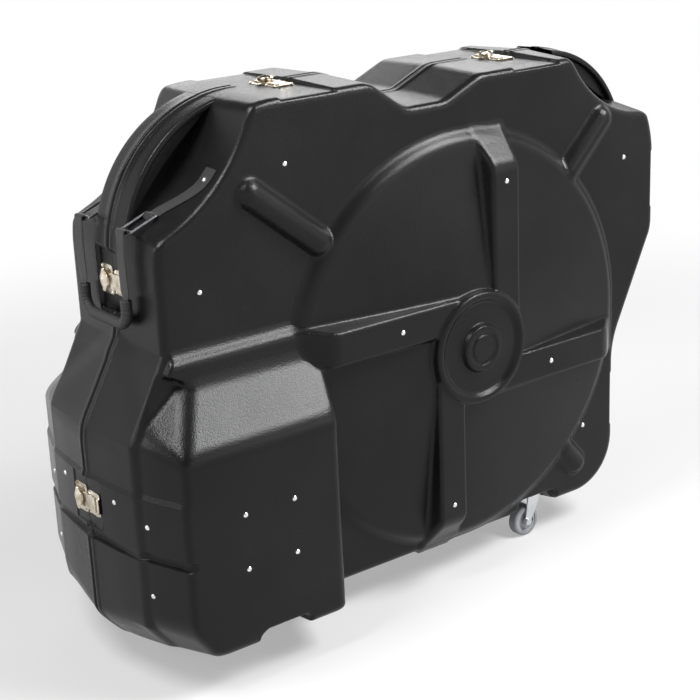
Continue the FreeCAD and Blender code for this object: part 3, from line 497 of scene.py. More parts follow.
seatForm = dict(
    tops=((-292.0, 463.0), (186.0, 447.0)), rights=((205.0, 472.0), (-203.0, 372.0)), half=50.0,
    neck=(-582.0, 200.0, 50.0), foot=(-663.0, -143.0, 40.0), pad=40.0,
    castors=(181.0, -449.0), castorHalf=49.0, castorBack=54.0, castorRoof=-345.0, castorRound=18.0,
    edgeRound=5.0)
skin = dict(
    columns=1280, wallRows=28, fanRows=46, outerRows=52, rimRows=25, discRows=58, hubRows=74,
    pivotHeight=105.0, pivotDepth=30.0, bulgeDepth=34.0, bulgeRight=(-260.0, 40.0), bulgeTop=(70.0, 60.0),
    window=16, smooth=8.0,
    seamLevel=0.4, levelPower=1.5, farReach=820.0, wallStart=140.0, fanReach=330.0, topLevel=250.0,
    rimStart=386.0, rimGap=3.0, rimEnd=318.0, hubStart=116.0, hubEnd=0.4,
    steps=46, farSteps=60, stride=0.86, lean=0.5,
    paceSteps=4001, paceFloor=120.0, fineBands=((0.153, 0.030), (0.302, 0.046)), fineEase=0.010, fineGain=5.0)


def roundedLine(points, arcSteps, runSteps):
    # closed polygon whose corners are arcs: each arc turns about the point its radius away from both sides
    p = np.array(points, float)
    xy, radius = p[:, :2], p[:, 2]
    back = unit(np.roll(xy, 1, axis=0) - xy)
    ahead = unit(np.roll(xy, -1, axis=0) - xy)
    half = np.arccos(np.clip((back * ahead).sum(1), -1, 1)) / 2
    reach = (radius / np.tan(half))[:, None]
    centre = xy + unit(back + ahead) * (radius / np.sin(half))[:, None]
    first, last = xy + back * reach, xy + ahead * reach
    start = np.arctan2(*(first - centre).T[::-1])
    stop = np.arctan2(*(last - centre).T[::-1])
    sweep = (stop - start + np.pi) % (2 * np.pi) - np.pi
    t = np.linspace(0, 1, arcSteps)
    turn = start[:, None] + sweep[:, None] * t
    arcs = centre[:, None] + radius[:, None, None] * stack(np.cos(turn), np.sin(turn))
    t = np.linspace(0, 1, runSteps, endpoint=False)[1:, None]
    runs = last[:, None] * (1 - t) + np.roll(first, -1, axis=0)[:, None] * t
    return np.concatenate([arcs, runs], axis=1).reshape(-1, 2)


def outlinePoints(share, tuck):
    # case outline, at the seam for share 0 and at the flat panel for 1
    f, d = caseForm, caseForm["drafts"]
    left = -f["neck"] + d["left"] * share
    right, waist = f["right"] - d["right"] * share, f["waist"] - d["right"] * share
    topLeft, topRight = f["crownLeft"] - d["top"] * share, f["crownRight"] - d["top"] * share
    base, low, foot = -f["base"] + d["base"] * share, f["dipFloor"] - d["top"] * share, -f["foot"] + tuck
    small, soft, (dipLeft, dipRight), (runLeft, runRight) = f["endRound"], f["dipRound"], f["dip"], f["dipRun"]
    return [
        (left, topLeft, f["rimLeft"]), (left, f["neckFoot"], small), (foot, f["footTop"], small),
        (foot, base + f["endCorner"][1], small), (foot + f["endCorner"][0], base, small),
        (waist, base, f["heel"]), (waist, f["waistFoot"], f["waistRound"]),
        (right, f["waistTop"], f["shoulder"]), (right, topRight, f["rimRight"]),
        (dipRight + runRight, topRight, soft), (dipRight, low, soft),
        (dipLeft, low, soft), (dipLeft - runLeft, topLeft, soft)]


tableTurn = np.linspace(-np.pi, np.pi, 16385)


def reachTable(share, tuck):
    # distance from the disc centre to the outline for every direction
    line = roundedLine(outlinePoints(share, tuck), 160, 160)
    turn, reach = np.arctan2(line[:, 1], line[:, 0]), np.hypot(line[:, 0], line[:, 1])
    order = np.argsort(turn)
    return np.interp(tableTurn, turn[order], reach[order], period=2 * np.pi)


seamReach = reachTable(0.0, caseForm["tuck"])
panelShift = reachTable(1.0, caseForm["tuck"]) - seamReach
sideLean = seamReach / np.hypot(seamReach, np.gradient(seamReach, tableTurn))


def unitPlane(point, normal):
    n = unit(np.array(normal, float))
    return n[0], n[1], n[2], -float(n @ np.array(point, float))


def bulgePlanes():
    # flat faces of the crank bulge as unit normals with their offsets, in u, v, h
    b, f = bulgeForm, caseForm
    top, left, draft, foot, base = b["top"], b["left"], b["endDraft"], f["foot"], f["base"]
    edgeU = -foot + draft * b["endEdge"]
    facet = unit(np.array([-(top - b["endEdge"]), 0.0, -left - edgeU]))
    flareUp, flareOut = f["neckFoot"] - f["footTop"], foot - f["neck"]
    long, tall = f["endCorner"]
    ends = [unitPlane((-foot, 0, 0), (-1, 0, draft)), unitPlane((edgeU, 0, b["endEdge"]), facet)]
    rest = [
        unitPlane((-b["right"], 0, top), (top - f["panel"], 0, b["right"] - b["rightFoot"])),
        unitPlane((0, b["slopeEdge"], top), (0, b["slopeDrop"], b["slopeTop"] - b["slopeEdge"])),
        unitPlane((-foot, f["footTop"], 0), (-flareUp, flareOut, flareUp * draft)),
        unitPlane((-left, b["slopeEdge"], top), b["fold"]),
        unitPlane((-left, -b["cornerCut"], top), facet - np.array([0.0, b["cornerDrop"], 0.0])),
        unitPlane((0, -base, 0), (0, -top, b["baseRise"])),
        unitPlane((-foot, -base + tall, 0), (-tall, -long, tall * draft)),
        unitPlane((0, -b["lowEdge"], top), (0, -b["bevel"], 1))]
    return ends, rest


endFaces, otherFaces = bulgePlanes()


def planeGap(plane, u, v, h):
    return plane[0] * u + plane[1] * v + plane[2] * h + plane[3]


def bulgeGap(u, v, h):
    # all faces of the bulge meet with rounded edges; the belt stands out below the ledge and the groove cuts it
    b = bulgeForm
    below = np.clip((b["ledge"] - v) / b["ledgeTall"] + 0.5, 0, 1)
    inGroove = easeStep(((b["grooveTall"] + b["grooveEase"]) / 2 - np.abs(v - b["groove"])) / b["grooveEase"])
    step = b["ledgeStep"] * below - b["grooveDeep"] * inGroove
    gap = h - b["top"]
    ends = softMax(planeGap(endFaces[0], u, v, h), planeGap(endFaces[1], u, v, h), b["edgeRound"]) - step
    gap = softMax(gap, ends, b["frontRound"])
    for plane in otherFaces:
        gap = softMax(gap, planeGap(plane, u, v, h), b["edgeRound"])
    return gap


def skirtGap(u, v, h):
    # low step in the panel above the bulge, running from the flared end to the wheel disc
    b, soft = bulgeForm, bulgeForm["skirtRound"]
    slope = (v - b["skirtTop"] + h - (b["skirt"] + caseForm["panel"]) / 2) / math.sqrt(2)
    gap = softMax(h - b["skirt"], slope, soft)
    (footU, footV), (footRun, footFall) = b["skirtFoot"]
    gap = softMax(gap, u + b["skirtRight"], soft)
    gap = softMax(gap, footRun * (u - footU) + footFall * (v - footV), soft)
    for plane in (endFaces[0], otherFaces[2]):
        gap = softMax(gap, planeGap(plane, u, v, h), soft)
    return gap


def discGap(u, v, h):
    # low cone with a sloped rim, four arms set off the centre like a pinwheel, and a dished hub
    d, up = discForm, h - caseForm["panel"]
    r = np.hypot(u, v)
    slope = (r - d["foot"] + up) / math.sqrt(2)
    fall = (d["crown"] - d["rise"]) / (d["rim"] - d["hub"])
    cone = (up - d["rise"] - (d["rim"] - r) * fall) / math.hypot(1, fall)
    gap = np.maximum(softMax(slope, cone, d["edgeRound"]), r - d["foot"])
    lean, drop, run = d["spokeLean"], d["spokeTop"] - d["rise"], d["spokeTip"] - d["spokeFlat"]
    top = up - d["spokeTop"]
    for a, c in ((u, v), (v, -u), (-u, -v), (-v, u)):
        sides = (np.abs(a - d["spokeOffset"]) - d["spokeHalf"] + lean * top) / math.hypot(1, lean)
        tip = (drop * (c - d["spokeFlat"]) + run * top) / math.hypot(drop, run)
        arm = softMax(softMax(sides, top, d["edgeRound"]), tip, d["edgeRound"] * d["tipSoft"])
        arm = np.maximum(np.maximum(arm, -c), d["hub"] - d["armStart"] - r)
        gap = softMin(gap, arm, d["fillet"])
    lean = d["hubLean"] / (d["hubTop"] + d["root"])
    side = (r - d["hub"] + lean * (up + d["root"])) / math.hypot(1, lean)
    hub = softMax(side, up - np.interp(r, d["rings"], d["tops"]), d["edgeRound"])
    return np.maximum(softMin(gap, hub, d["hubFillet"]), -d["root"] - up)


def ribGap(u, v, h):
    # bars with round ends, their axes a little below the panel and pointing at the disc centre
    bars = []
    for angle, start, end in ribForm["bars"]:
        c, s = math.cos(math.radians(angle)), math.sin(math.radians(angle))
        along = np.clip(u * c + v * s, start, end)
        away = (u - along * c) ** 2 + (v - along * s) ** 2 + (h - caseForm["panel"] + ribForm["sink"]) ** 2
        bars.append(np.sqrt(away) - ribForm["radius"])
    return reduce(np.minimum, bars)


def seatGap(u, v, h):
    # room cut for latches and castors, negative inside it
    s = seatForm
    cuts = [np.maximum(np.abs(u - x) - s["half"], floor - v) for x, floor in s["tops"]]
    cuts += [np.maximum(np.abs(v - z) - s["half"], floor - u) for z, floor in s["rights"]]
    for wall, z, half in (s["neck"], s["foot"]):
        cuts.append(np.maximum(np.maximum(u - wall, np.abs(v - z) - half), h - s["pad"]))
    for x in s["castors"]:
        room = softMax(np.abs(u - x) - s["castorHalf"], v - s["castorRoof"], s["castorRound"])
        cuts.append(np.maximum(room, s["castorBack"] - h))
    return reduce(np.minimum, cuts)


def caseGap(u, v, h):
    # signed gap to the outside of one half, below zero inside the moulding
    f = caseForm
    r, turn = np.hypot(u, v), np.arctan2(v, u)
    rim = np.interp(turn, tableTurn, seamReach) + np.interp(turn, tableTurn, panelShift) * h / f["panel"]
    (low, lowEase), (high, highEase), (edge, edgeEase) = *f["lipBand"], f["lipGrooveBand"]
    lip = f["lip"] * easeStep((h - low) / lowEase) * easeStep((high - h) / highEase)
    lip = lip - f["lipGroove"] * easeStep((edge - h) / edgeEase)
    side = (r - rim) * np.interp(turn, tableTurn, sideLean)
    gap = softMax(side, h - f["panel"], f["edgeRound"])
    gap = softMin(gap, skirtGap(u, v, h), bulgeForm["skirtFillet"])
    gap = softMin(gap, bulgeGap(u, v, h), bulgeForm["fillet"])
    gap = softMin(gap, discGap(u, v, h), discForm["fillet"])
    gap = softMin(gap, ribGap(u, v, h), ribForm["fillet"])
    for x, z, radius in f["scoops"]:
        wall = radius - f["scoopSlope"] * (f["panel"] - h)
        gap = softMax(gap, wall - np.hypot(u - x, v - z), f["scoopRound"])
    gap = gap - lip
    return softMax(gap, -seatGap(u, v, h), seatForm["edgeRound"])


def castRays(c, s, rho, h, dRho, dH, steps):
    # walk along each ray by the gap until the surface is met; rays lie in planes through the disc axis
    for step in range(steps):
        gap = caseGap(rho * c, rho * s, h) * skin["stride"]
        rho = rho + dRho * gap
        h = h + dH * gap
    return rho, h


def makeSkin():
    # one grid of rays: level ones on the side walls, a fan over the edge, upright ones on the face
    k = skin
    even = np.linspace(-np.pi, np.pi, k["paceSteps"])
    reach = np.interp(even, tableTurn, seamReach)
    pace = np.hypot(reach, np.gradient(reach, even)) + k["paceFloor"]
    near = [easeStep((wide - np.abs(even + np.pi - middle)) / k["fineEase"]) for middle, wide in k["fineBands"]]
    pace = pace * (1 + k["fineGain"] * sum(near))
    walked = np.concatenate([[0], np.cumsum((pace[1:] + pace[:-1]) / 2 * np.diff(even))])
    turn = np.interp(np.linspace(0, walked[-1], k["columns"], endpoint=False), walked, even)
    c, s = np.cos(turn), np.sin(turn)
    high, start = k["pivotHeight"], np.full_like(turn, k["farReach"])
    wallReach = castRays(c, s, start, np.full_like(turn, high), -1.0, 0.0, k["farSteps"])[0]
    (right, rightEase), (top, topEase) = k["bulgeRight"], k["bulgeTop"]
    inBulge = easeStep((right - wallReach * c) / rightEase) * easeStep((top - wallReach * s) / topEase)
    pivot = wallReach - k["pivotDepth"] - k["bulgeDepth"] * inBulge
    window = np.arange(-k["window"], k["window"] + 1)
    pivot = np.stack([np.roll(pivot, i) for i in window]).min(0)
    weights = np.exp(-(window / k["smooth"]) ** 2)
    pivot = np.average(np.stack([np.roll(pivot, i) for i in window]), axis=0, weights=weights)

    def span(count, first, last, ends=False):
        # rows between two lines of reach, each even along its own column
        t = np.linspace(0, 1, count, endpoint=ends)[:, None]
        return first * (1 - t) + last * t + 0 * pivot

    level = np.linspace(0, 1, k["wallRows"], endpoint=False)[:, None] ** k["levelPower"]
    lift = np.linspace(0, np.pi / 2, k["fanRows"], endpoint=False)[:, None]
    out, up = np.cos(lift), np.sin(lift)
    edge = np.minimum(k["rimStart"], pivot - k["rimGap"])
    topRho = np.concatenate([
        span(k["outerRows"], pivot, edge), span(k["rimRows"], edge, k["rimEnd"]),
        span(k["discRows"], k["rimEnd"], k["hubStart"]), span(k["hubRows"], k["hubStart"], k["hubEnd"], True)])
    parts = (
        (wallReach + k["wallStart"], k["seamLevel"] + (high - k["seamLevel"]) * level, -1.0, 0.0),
        (pivot + k["fanReach"] * out, high + k["fanReach"] * up, -out, -up),
        (topRho, k["topLevel"], 0.0, -1.0))
    rho, h, dRho, dH = map(np.concatenate, zip(*(np.broadcast_arrays(*part) for part in parts)))
    rho, h = castRays(c, s, rho, h, dRho, dH, k["steps"])
    u, v = rho * c, rho * s
    lean = [caseGap(u + a, v + b, h + d) - caseGap(u - a, v - b, h - d) for a, b, d in k["lean"] * np.eye(3)]
    return stack(u, v, h), unit(stack(*lean))


skinPoints, skinNormals = makeSkin()
print("case surface worked out:", skinPoints.shape)


def makeHalf(name, side, body):
    # outer surface in bands, and the inner surface a wall thickness behind it
    k = skin
    rows = (0, k["wallRows"] + k["fanRows"], k["outerRows"] + k["rimRows"], k["discRows"], k["hubRows"] - 1)
    cuts = np.cumsum(rows)
    points = toFrame(skinPoints, side)
    normals = stack(skinNormals[..., 0], side * skinNormals[..., 2], skinNormals[..., 1])
    for label, low, high in zip(("side", "face", "disc", "hub"), cuts[:-1], cuts[1:]):
        band, shell = slice(low, high + 1), name + "_shell"
        addPiece(shell + "_" + label, points[band], body, "black_shell", shell,
                 normals=normals[band], flip=side > 0)
    inner = skinPoints[::2, ::3] - caseForm["wall"] * skinNormals[::2, ::3]
    inner[0, :, 2] = skinPoints[0, ::3, 2]
    inner = toFrame(np.concatenate([skinPoints[:1, ::3], inner]), side)
    addPiece(name + "_shell_inside", inner, body, "black_shell", finish=insideShell, flip=side < 0)


for half in halves:
    makeHalf(*half)
print("moulded halves made")


# Grip corners: a bar round the corner with a finger pocket behind it
gripForm = dict(
    height=46.0, width=15.0, floor=10.0, wall=3.0, barRound=4.0, barTop=11.0, innerRound=2.0, ledge=36.0,
    ledgeWide=22.0, ledgeShare=0.42, ledgeRound=3.0, floorRound=4.0, inset=0.35, tuck=10.0,
    shelfBend=(-3.2, 24.0), shelfRun=7.2, steps=150,
    lipLine=((-2.2, 0.4), (-2.2, 1.4), (-1.8, 2.0), (0.4, 3.2), (1.1, 4.0), (1.2, 6.0), (1.1, 10.0),
             (0.5, 12.0), (0.0, 13.5), (0.0, 22.0), (0.0, 32.0)),
    left=dict(arc=(-356.0, 238.0, 232.0), scoop=0, sweep=(96.0, 174.0)),
    right=dict(arc=(287.0, 252.0, 203.0), scoop=1, sweep=(6.0, 84.0)))


def makeGrip(name, half, side, body):
    # profile of wall, rounded bar, pocket floor and their back faces, carried round the corner arc
    g, k = gripForm, gripForm[name]
    floor, ledge, soft, high = g["floor"], g["ledge"], g["ledgeRound"], g["height"]
    x, z, radius = k["arc"]
    sx, sz, scoop = caseForm["scoops"][k["scoop"]]
    turn = np.radians(np.linspace(*k["sweep"], g["steps"]))
    e = stack(np.cos(turn), np.sin(turn))
    dx, dz = x - sx, z - sz
    reach = scoop - caseForm["scoopSlope"] * (caseForm["panel"] - floor)
    mid = dx * e[:, 0] + dz * e[:, 1]
    root = np.sqrt(np.maximum(mid ** 2 - dx ** 2 - dz ** 2 + reach ** 2, 0))
    q, low = g["innerRound"], g["floorRound"]
    wallRho = np.minimum(-mid - root, radius - g["width"] - q)
    out, inn, r, t = radius - g["inset"], radius - g["barTop"], g["barRound"], g["wall"]
    a = np.linspace(0, np.pi / 2, 9)
    c, s = np.cos(a), np.sin(a)
    outer = np.concatenate([
        np.array(g["lipLine"]) + [out, 0.0],
        stack(out - r + r * c, high - r + r * s),
        stack(inn + r - r * s, high - r + r * c),
        stack(inn - q + q * c, ledge + q - q * s)])
    shelf = np.concatenate([
        stack(-soft * s, ledge - soft + soft * c),
        [g["shelfBend"]], stack(-g["shelfRun"] + low * c, floor + low - low * s)])
    deep = np.array([[0.0, floor], [0.0, floor - t]])
    under = np.array([[-g["shelfRun"], floor - t], [-0.2, floor - t], [-0.2, ledge - t]])
    roof = high - t
    back = np.array([[inn + t, ledge - t], [inn + t, roof - 1.0], [out - t - 1.0, roof],
                     [out - t, roof - 1.0], [out - t, skin["seamLevel"]]])
    room = np.maximum(inn - q - wallRho, 0.5)
    shelfRho = inn - q - np.minimum(g["ledgeWide"], g["ledgeShare"] * room)
    still = np.zeros_like(turn)
    parts = ((outer, still), (shelf, shelfRho), (deep, wallRho - g["tuck"]), (under, shelfRho), (back, still))
    rho = np.concatenate([start[:, None] + points[:, 0] for points, start in parts], axis=1)
    h = np.concatenate([points[:, 1] for points, start in parts])
    d, shift = caseForm["drafts"], h / caseForm["panel"]
    u = x + rho * e[:, :1] + shift * (d["left"] if name == "left" else -d["right"])
    v = z + rho * e[:, 1:] - shift * d["top"]
    points = toFrame(stack(u, v, h), side)
    addPiece(half + "_grip_" + name, points, body, "black_shell", flip=side < 0)


for half in halves:
    for corner in ("left", "right"):
        makeGrip(corner, *half)
print("grip corners made")


# Webbing, rubber and foam
def bow(x, power):
    # sine or cosine drawn towards a square wave
    return np.sign(x) * np.abs(x) ** power


def lengths(path):
    return np.concatenate([[0], np.cumsum(np.linalg.norm(np.diff(path, axis=0), axis=1))])


def addBand(name, path, wide, out, thick, body, hides):
    # flat strap: a rounded oblong carried along the path, in millimetres, and drawn to a line at both ends
    a = circle(28)
    x, y = bow(np.cos(a), 0.35), bow(np.sin(a), 0.55) * thick / 2
    rows = path[:, None] + wide[:, None] * x[:, None] + out[:, None] * y[:, None]
    ends = [path[i] + wide[i] * x[:, None] * 0.97 for i in (0, -1)]
    points = np.concatenate([ends[0][None], rows, ends[1][None]])
    along = lengths(path) / 1000.0
    along = np.concatenate([along[:1], along, along[-1:]])
    across = stack((x[None] + 1) / 2, along[:, None])
    addPiece(name, points / 1000.0, body, "black_webbing", hides, across=across)


def crossways(path, wide):
    # direction out of the strap's flat side, square to its run and its width
    return unit(np.cross(np.gradient(path, axis=0), wide))


def tube(path, one, other, radius, sides):
    # ring of points round each point of a path, in metres
    a = circle(sides)[None, :, None]
    ring = one[:, None] * np.cos(a) + other[:, None] * np.sin(a)
    return (path[:, None] + ring * radius[:, None, None]) / 1000.0


stitchForm = dict(spacing=3.6, thick=0.9, lift=0.05, aside=(0.31, 0.52, 0.79))


def addStitches(name, path, body):
    # thread along a line: a thin tube that swells once for every stitch
    run = unit(np.gradient(path, axis=0))
    side = unit(np.cross(run, stitchForm["aside"]))
    swell = np.abs(np.sin(np.pi * lengths(path) / stitchForm["spacing"]))
    radius = stitchForm["thick"] / 2 * (0.25 + 0.75 * swell)
    radius[[0, -1]] = 0.01
    addPiece(name, tube(path, side, np.cross(run, side), radius, 7), body, "black_webbing", finish=thread)


webForm = dict(half=12.0, thick=2.0, clear=0.3, anchor=(-40.0, -63.9), rivetAt=-44.0, rivetLevel=103.0,
               clipAt=-62.3, clipLevel=65.0, clipWire=2.5, archRun=0.85, stitches=(-51.0, -60.0),
               rows=(-0.78, 0.78), steps=150)
handleForm = dict(bar=(-596.7, 293.0), loop=3.8, gripTop=188.0, gripLow=145.0, bend=24.0, radius=9.0, rib=6.5,
                  ribDeep=0.55, collar=9.0, thinner=0.2, bowed=0.9, sink=5.0, narrow=0.45, narrowFrom=14.0,
                  narrowRun=16.0, rows=(-0.74, 0.74), stitches=(66, 92), end=2.5)


def scoopPoint(angle, level, lift, side):
    # point on the left scoop's wall, lifted off it towards the scoop's middle
    x, z, radius = caseForm["scoops"][0]
    reach = radius - caseForm["scoopSlope"] * (caseForm["panel"] - level) - lift
    turn = np.radians(angle)
    return atFrame(x + reach * np.cos(turn), side * level, z + reach * np.sin(turn))


def makeAnchorStrap(half, side, body):
    # lies on the scoop's wall from the rivet down to the clip, then arches over the clip's bar
    w = webForm
    angle = np.linspace(*w["anchor"], w["steps"])
    share = easeStep((angle - w["clipAt"]) / (w["rivetAt"] - w["clipAt"]))
    level = w["clipLevel"] + (w["rivetLevel"] - w["clipLevel"]) * share
    arch = np.exp(-((angle - w["clipAt"]) / w["archRun"]) ** 2)
    lift = w["clear"] + w["thick"] / 2 + (2 * w["clipWire"] + 0.6) * arch
    path = scoopPoint(angle, level, lift, side)
    edges = [scoopPoint(angle, level + w["half"] * way, lift, side) for way in (1, -1)]
    wide = (edges[0] - edges[1]) / 2
    out = crossways(path, wide)
    addBand(half + "_anchor_webbing", path, wide, out, w["thick"], body, half + "_anchor_strap")
    inward = scoopPoint(angle, level, lift + 1.0, side) - path
    pick = (angle < w["stitches"][0]) & (angle > w["stitches"][1])
    for number, share in enumerate(w["rows"]):
        line = path[pick] + wide[pick] * share + inward[pick] * (w["thick"] / 2 + stitchForm["lift"])
        addStitches(half + "_anchor_stitch_" + str(number), line, body)


def makeHandleStraps():
    # each leg loops round the clip's end bar and hangs to the grip, bowed a little by its own stiffness
    w, g = webForm, handleForm
    x, z = g["bar"]
    turn = np.radians(np.linspace(-120.0, 180.0, 60))
    loop = stack(x + g["loop"] * np.cos(turn), z + g["loop"] * np.sin(turn))
    t = np.linspace(0, 1, 70)[1:]
    bowed = g["bowed"] * np.sin(np.pi * t) ** 2
    drop = stack(x - g["loop"] - bowed, z + (g["gripTop"] - g["sink"] - z) * t)
    line = np.concatenate([loop, drop])
    for number, y in enumerate((-w["clipLevel"], w["clipLevel"])):
        path = atFrame(line[:, 0], y, line[:, 1])
        narrow = 1 - g["narrow"] * easeStep((g["gripTop"] + g["narrowFrom"] - line[:, 1]) / g["narrowRun"])
        wide = np.array([0.0, 1.0, 0.0]) * (w["half"] * narrow)[:, None]
        out = crossways(path, np.broadcast_to([0.0, 1.0, 0.0], path.shape))
        label = "handle_webbing_" + str(number)
        addBand(label, path, wide, out, w["thick"] - g["thinner"], "pull_handle", "handle_straps")
        for end, share in enumerate(g["rows"]):
            pick = slice(*g["stitches"])
            seam = path[pick] + wide[pick] * share - np.array([w["thick"] / 2 + stitchForm["lift"], 0.0, 0.0])
            addStitches("handle_stitch_%d_%d" % (number, end), seam, "pull_handle")


def makeHandleGrip():
    # round rubber bar bent to a U, ringed with shallow finger ridges, a smooth collar at each end
    g = handleForm
    x, side = g["bar"][0] - g["loop"], webForm["clipLevel"]
    straight, bend, flat = g["gripTop"] - g["gripLow"] - g["bend"], g["bend"], 2 * (side - g["bend"])
    total = 2 * straight + np.pi * bend + flat
    s = np.linspace(0, total, 420)
    q = np.minimum(s, total - s)
    turn = np.clip((q - straight) / bend, 0, np.pi / 2)
    y = -side + bend * (1 - np.cos(turn)) + np.maximum(q - straight - np.pi / 2 * bend, 0)
    z = g["gripTop"] - np.minimum(q, straight) - bend * np.sin(turn)
    mirror = np.where(s > total / 2, -1.0, 1.0)
    path = atFrame(x, y * mirror, z)
    normal = stack(np.zeros_like(s), np.cos(turn) * mirror, np.sin(turn))
    ribs = easeStep((q - g["collar"]) / 3.0) * (0.5 - 0.5 * np.cos(2 * np.pi * q / g["rib"]))
    dome = np.sqrt(np.clip(1 - (np.maximum(g["end"] - q, 0) / g["end"]) ** 2, 0, 1))
    radius = g["radius"] * (0.35 + 0.65 * dome) - g["ribDeep"] * ribs
    radius[[0, -1]] = 0.3
    points = tube(path, normal, np.broadcast_to([1.0, 0.0, 0.0], path.shape), radius, 32)
    addPiece("handle_rubber", points, "pull_handle", "black_rubber", "handle_grip")


padForm = dict(left=-400.0, right=360.0, top=390.0, low=-330.0, corner=150.0, pitch=46.0, swell=2.6, rows=54,
               arcSteps=34, runSteps=28)


def makePad(half, side, body):
    # foam sheet from the middle of its open face out to the edge, round it and back
    # two crossed sine waves dimple the open face, and a high power of the way out eases the edge
    f = padForm
    left, right, top, low, corner = (f[key] for key in ("left", "right", "top", "low", "corner"))
    levels = sorted(abs(spot[1]) * 1000.0 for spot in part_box(half + "_pad"))
    outline = [(left, top, corner), (left, low, corner), (right, low, corner), (right, top, corner)]
    line = roundedLine(outline, f["arcSteps"], f["runSteps"])
    middle = (left + right) / 2, (top + low) / 2
    t = np.linspace(-1, 1, 2 * f["rows"] + 1)
    share = np.clip(np.sin((1 - np.abs(t)) * np.pi / 2), 0.0005, 1)[:, None]
    u = middle[0] + (line[:, 0] - middle[0]) * share
    v = middle[1] + (line[:, 1] - middle[1]) * share
    edge = np.sqrt(1 - share ** 40)
    wave = np.sin(np.pi * u / f["pitch"]) * np.sin(np.pi * v / f["pitch"])
    deep = (levels[1] - levels[0]) / 2
    openFace = deep - f["swell"] + f["swell"] * wave * np.clip((1 - share) * 12, 0, 1)
    h = (levels[0] + levels[1]) / 2 + np.where(t[:, None] < 0, -openFace, deep) * edge
    points = toFrame(stack(u, v, h), side)
    addPiece(half + "_foam", points, body, "grey_foam", half + "_pad")


tieForm = dict(lines=(-150.0, 130.0), half=19.0, thick=1.5, margin=30.0, sway=0.25, wave=31.0)


def makeTies(half, side, body):
    # flat straps over the foam, each a little proud of it between its ends
    f, p = tieForm, padForm
    level = sum(abs(corner[1]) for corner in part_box(half + "_tie_straps")) * 500.0
    v = np.linspace(p["low"] + f["margin"], p["top"] - f["margin"], 160)
    sway = f["sway"] * np.sin(v / f["wave"]) * np.clip(np.abs(v) / 60.0 - 0.4, 0, 1)
    for number, x in enumerate(f["lines"]):
        path = atFrame(x, side * (level + sway), v)
        wide = np.broadcast_to([f["half"], 0.0, 0.0], path.shape)
        out = crossways(path, wide)
        addBand("%s_tie_%d" % (half, number), path, wide, out, f["thick"], body, half + "_tie_straps")


gasketForm = dict(inset=3.8, thick=3.0, rear=6.0, front=4.0, level=20.0, steps=70)


def makeGasket():
    # ring a little inside the seam: a soft oblong with two sealing ribs on its front edge
    g = gasketForm
    turn = np.linspace(-np.pi, np.pi, 1400, endpoint=False)
    c, s = np.cos(turn), np.sin(turn)
    start, level = np.full_like(turn, skin["farReach"]), np.full_like(turn, g["level"])
    rho = castRays(c, s, start, level, -1.0, 0.0, g["steps"])[0]
    line = stack(rho * c, rho * s)
    run = unit(np.roll(line, -2, axis=0) - np.roll(line, 2, axis=0))
    inward = stack(-run[:, 1], run[:, 0])
    a = np.linspace(0, 2 * np.pi, 25)
    x = bow(np.cos(a), 0.6) * g["thick"] / 2
    y = bow(np.sin(a), 0.4) * (g["rear"] + g["front"]) / 2 + (g["rear"] - g["front"]) / 2
    y = y + 0.5 * np.cos(x * 4.2) * (y < -3.0)
    depth = g["inset"] + g["thick"] / 2 + x
    flat = line[None] + inward[None] * depth[:, None, None]
    points = atFrame(flat[..., 0], y[:, None], flat[..., 1]) / 1000.0
    addPiece("seam_seal", points, "rear_half", "black_rubber", "seam_gasket")


for half in halves:
    makeAnchorStrap(*half)
    makePad(*half)
    makeTies(*half)
makeHandleStraps()
makeHandleGrip()
makeGasket()
print("webbing, rubber and foam made")

# Butterfly latches: rounded plates, a keeper with its lip, and a domed wing
latchForm = dict(
    seats=dict(top_left=(-269.0, 463.0, (0, 0, 1)), top_right=(204.0, 447.0, (0, 0, 1)),
               left_upper=(-582.0, 200.0, (-1, 0, 0)), left_lower=(-663.0, -143.0, (-1, 0, 0)),
               right_upper=(472.0, 205.0, (1, 0, 0)), right_lower=(372.0, -203.0, (1, 0, 0))),
    plate=(24.0, 17.5, 20.5), keeper=(20.0, 17.5, -20.5), thick=1.5, lip=(3.0, 3.5), post=20.0,
    boss=12.0, wing=(18.0, 7.8), low=4.4, top=8.3, crown=2.2, ridge=1.1, ridgeWide=2.3, dent=1.1, dentAt=11.5,
    dentWide=3.0, button=0.8, buttonWide=4.2)


def seatPoints(x, y, z, seat):
    # local x along the seam, y to the back, z out of the case
    u, v, normal = latchForm["seats"][seat]
    out, back = np.array(normal, float), np.array([0.0, 1.0, 0.0])
    along = np.cross(back, out)
    start = atFrame(u, 0.0, v)
    return (start + x[..., None] * along + y[..., None] * back + z[..., None] * out) / 1000.0


def ovalReach(turn, long, wide, power):
    # distance to a rounded oblong's edge in each direction
    return ((np.abs(np.cos(turn)) / long) ** power + (np.abs(np.sin(turn)) / wide) ** power) ** (-1 / power)


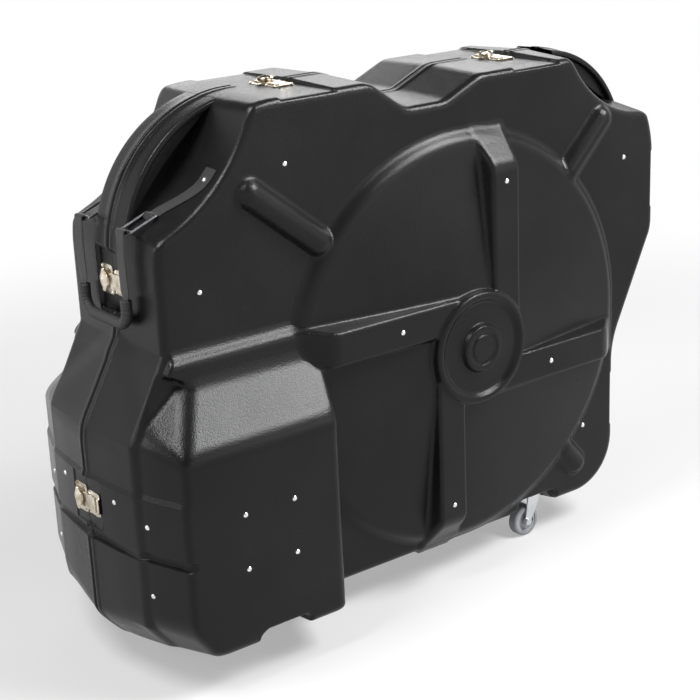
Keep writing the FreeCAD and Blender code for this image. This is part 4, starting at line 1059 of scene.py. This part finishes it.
def makeLatchPlate(name, seat, body, node, shape, lip):
    # rounded oblong: a raised field inside a rolled edge, and a lip at the keeper's far edge
    f = latchForm
    long, wide, middle = shape
    turn = circle(96)
    share = np.concatenate([np.linspace(0.01, 0.86, 14), np.linspace(0.88, 0.98, 8), [1.0, 1.0, 0.01]])[:, None]
    reach = ovalReach(turn, long, wide, 7.0) * share
    x, y = reach * np.cos(turn), middle + reach * np.sin(turn)
    field = 0.72 + 0.28 * easeStep((0.90 - share) / 0.06)
    z = f["thick"] * field * np.sqrt(np.clip(1 - share ** 60, 0, 1)) + 0 * x
    if lip:
        far = middle - wide + f["lip"][0]
        z = z + f["lip"][1] * easeStep((far + 0.4 - y) / 0.8) * easeStep((13.0 - np.abs(x)) / 1.2)
    z[-2:] = 0.05
    addPiece(name, seatPoints(x, y, z, seat), body, "nickel_plate", node)


def makeLatchWing(seat):
    # round boss with two wings across it: the higher of two domes, with a ridge along and a dent in each end
    f = latchForm
    low, top, hub = f["low"], f["top"], f["boss"]
    turn = circle(80)
    wing = ovalReach(turn, *f["wing"], 2.6) * (1 + 0.07 * np.cos(4 * turn))
    edge = np.maximum(wing, hub)
    share = np.linspace(0.004, 1, 26)[:, None]
    r = edge * share
    x, y = r * np.cos(turn), r * np.sin(turn)
    boss = low + (top - 0.4 - low) * np.sqrt(np.clip(1 - (r / hub) ** 8, 0, 1))
    high = top + f["crown"] * (1 - np.clip(r / wing, 0, 1) ** 4)
    high = high + f["ridge"] * np.exp(-(y / f["ridgeWide"]) ** 2)
    dent = np.exp(-((np.abs(x) - f["dentAt"]) ** 2 + y ** 2) / f["dentWide"] ** 2)
    high = high - f["dent"] * dent + f["button"] * np.clip(1 - (r / f["buttonWide"]) ** 2, 0, 1)
    inside = easeStep((wing - r) / 1.1)
    z = np.where(r < hub, boss, top - 0.2) * (1 - inside) + high * inside
    foot = low + (top - 0.3 - low) * easeStep((edge - hub) / 1.5)
    under = np.linspace(1, 0.02, 6)[:, None]
    x = np.concatenate([x, edge * np.cos(turn) * under])
    y = np.concatenate([y, edge * np.sin(turn) * under]) + f["post"]
    z = np.concatenate([z, foot * under + low * (1 - under)])
    points = seatPoints(x, y, z, seat)
    addPiece("wing_" + seat, points, "latch_wing_body_" + seat, "nickel_plate", "latch_wing_" + seat)


for seat in latchForm["seats"]:
    makeLatchPlate("plate_" + seat, seat, "rear_half", "latch_plates", latchForm["plate"], False)
    makeLatchPlate("keeper_" + seat, seat, "front_half", "latch_keepers", latchForm["keeper"], True)
    makeLatchWing(seat)
print("latches made")
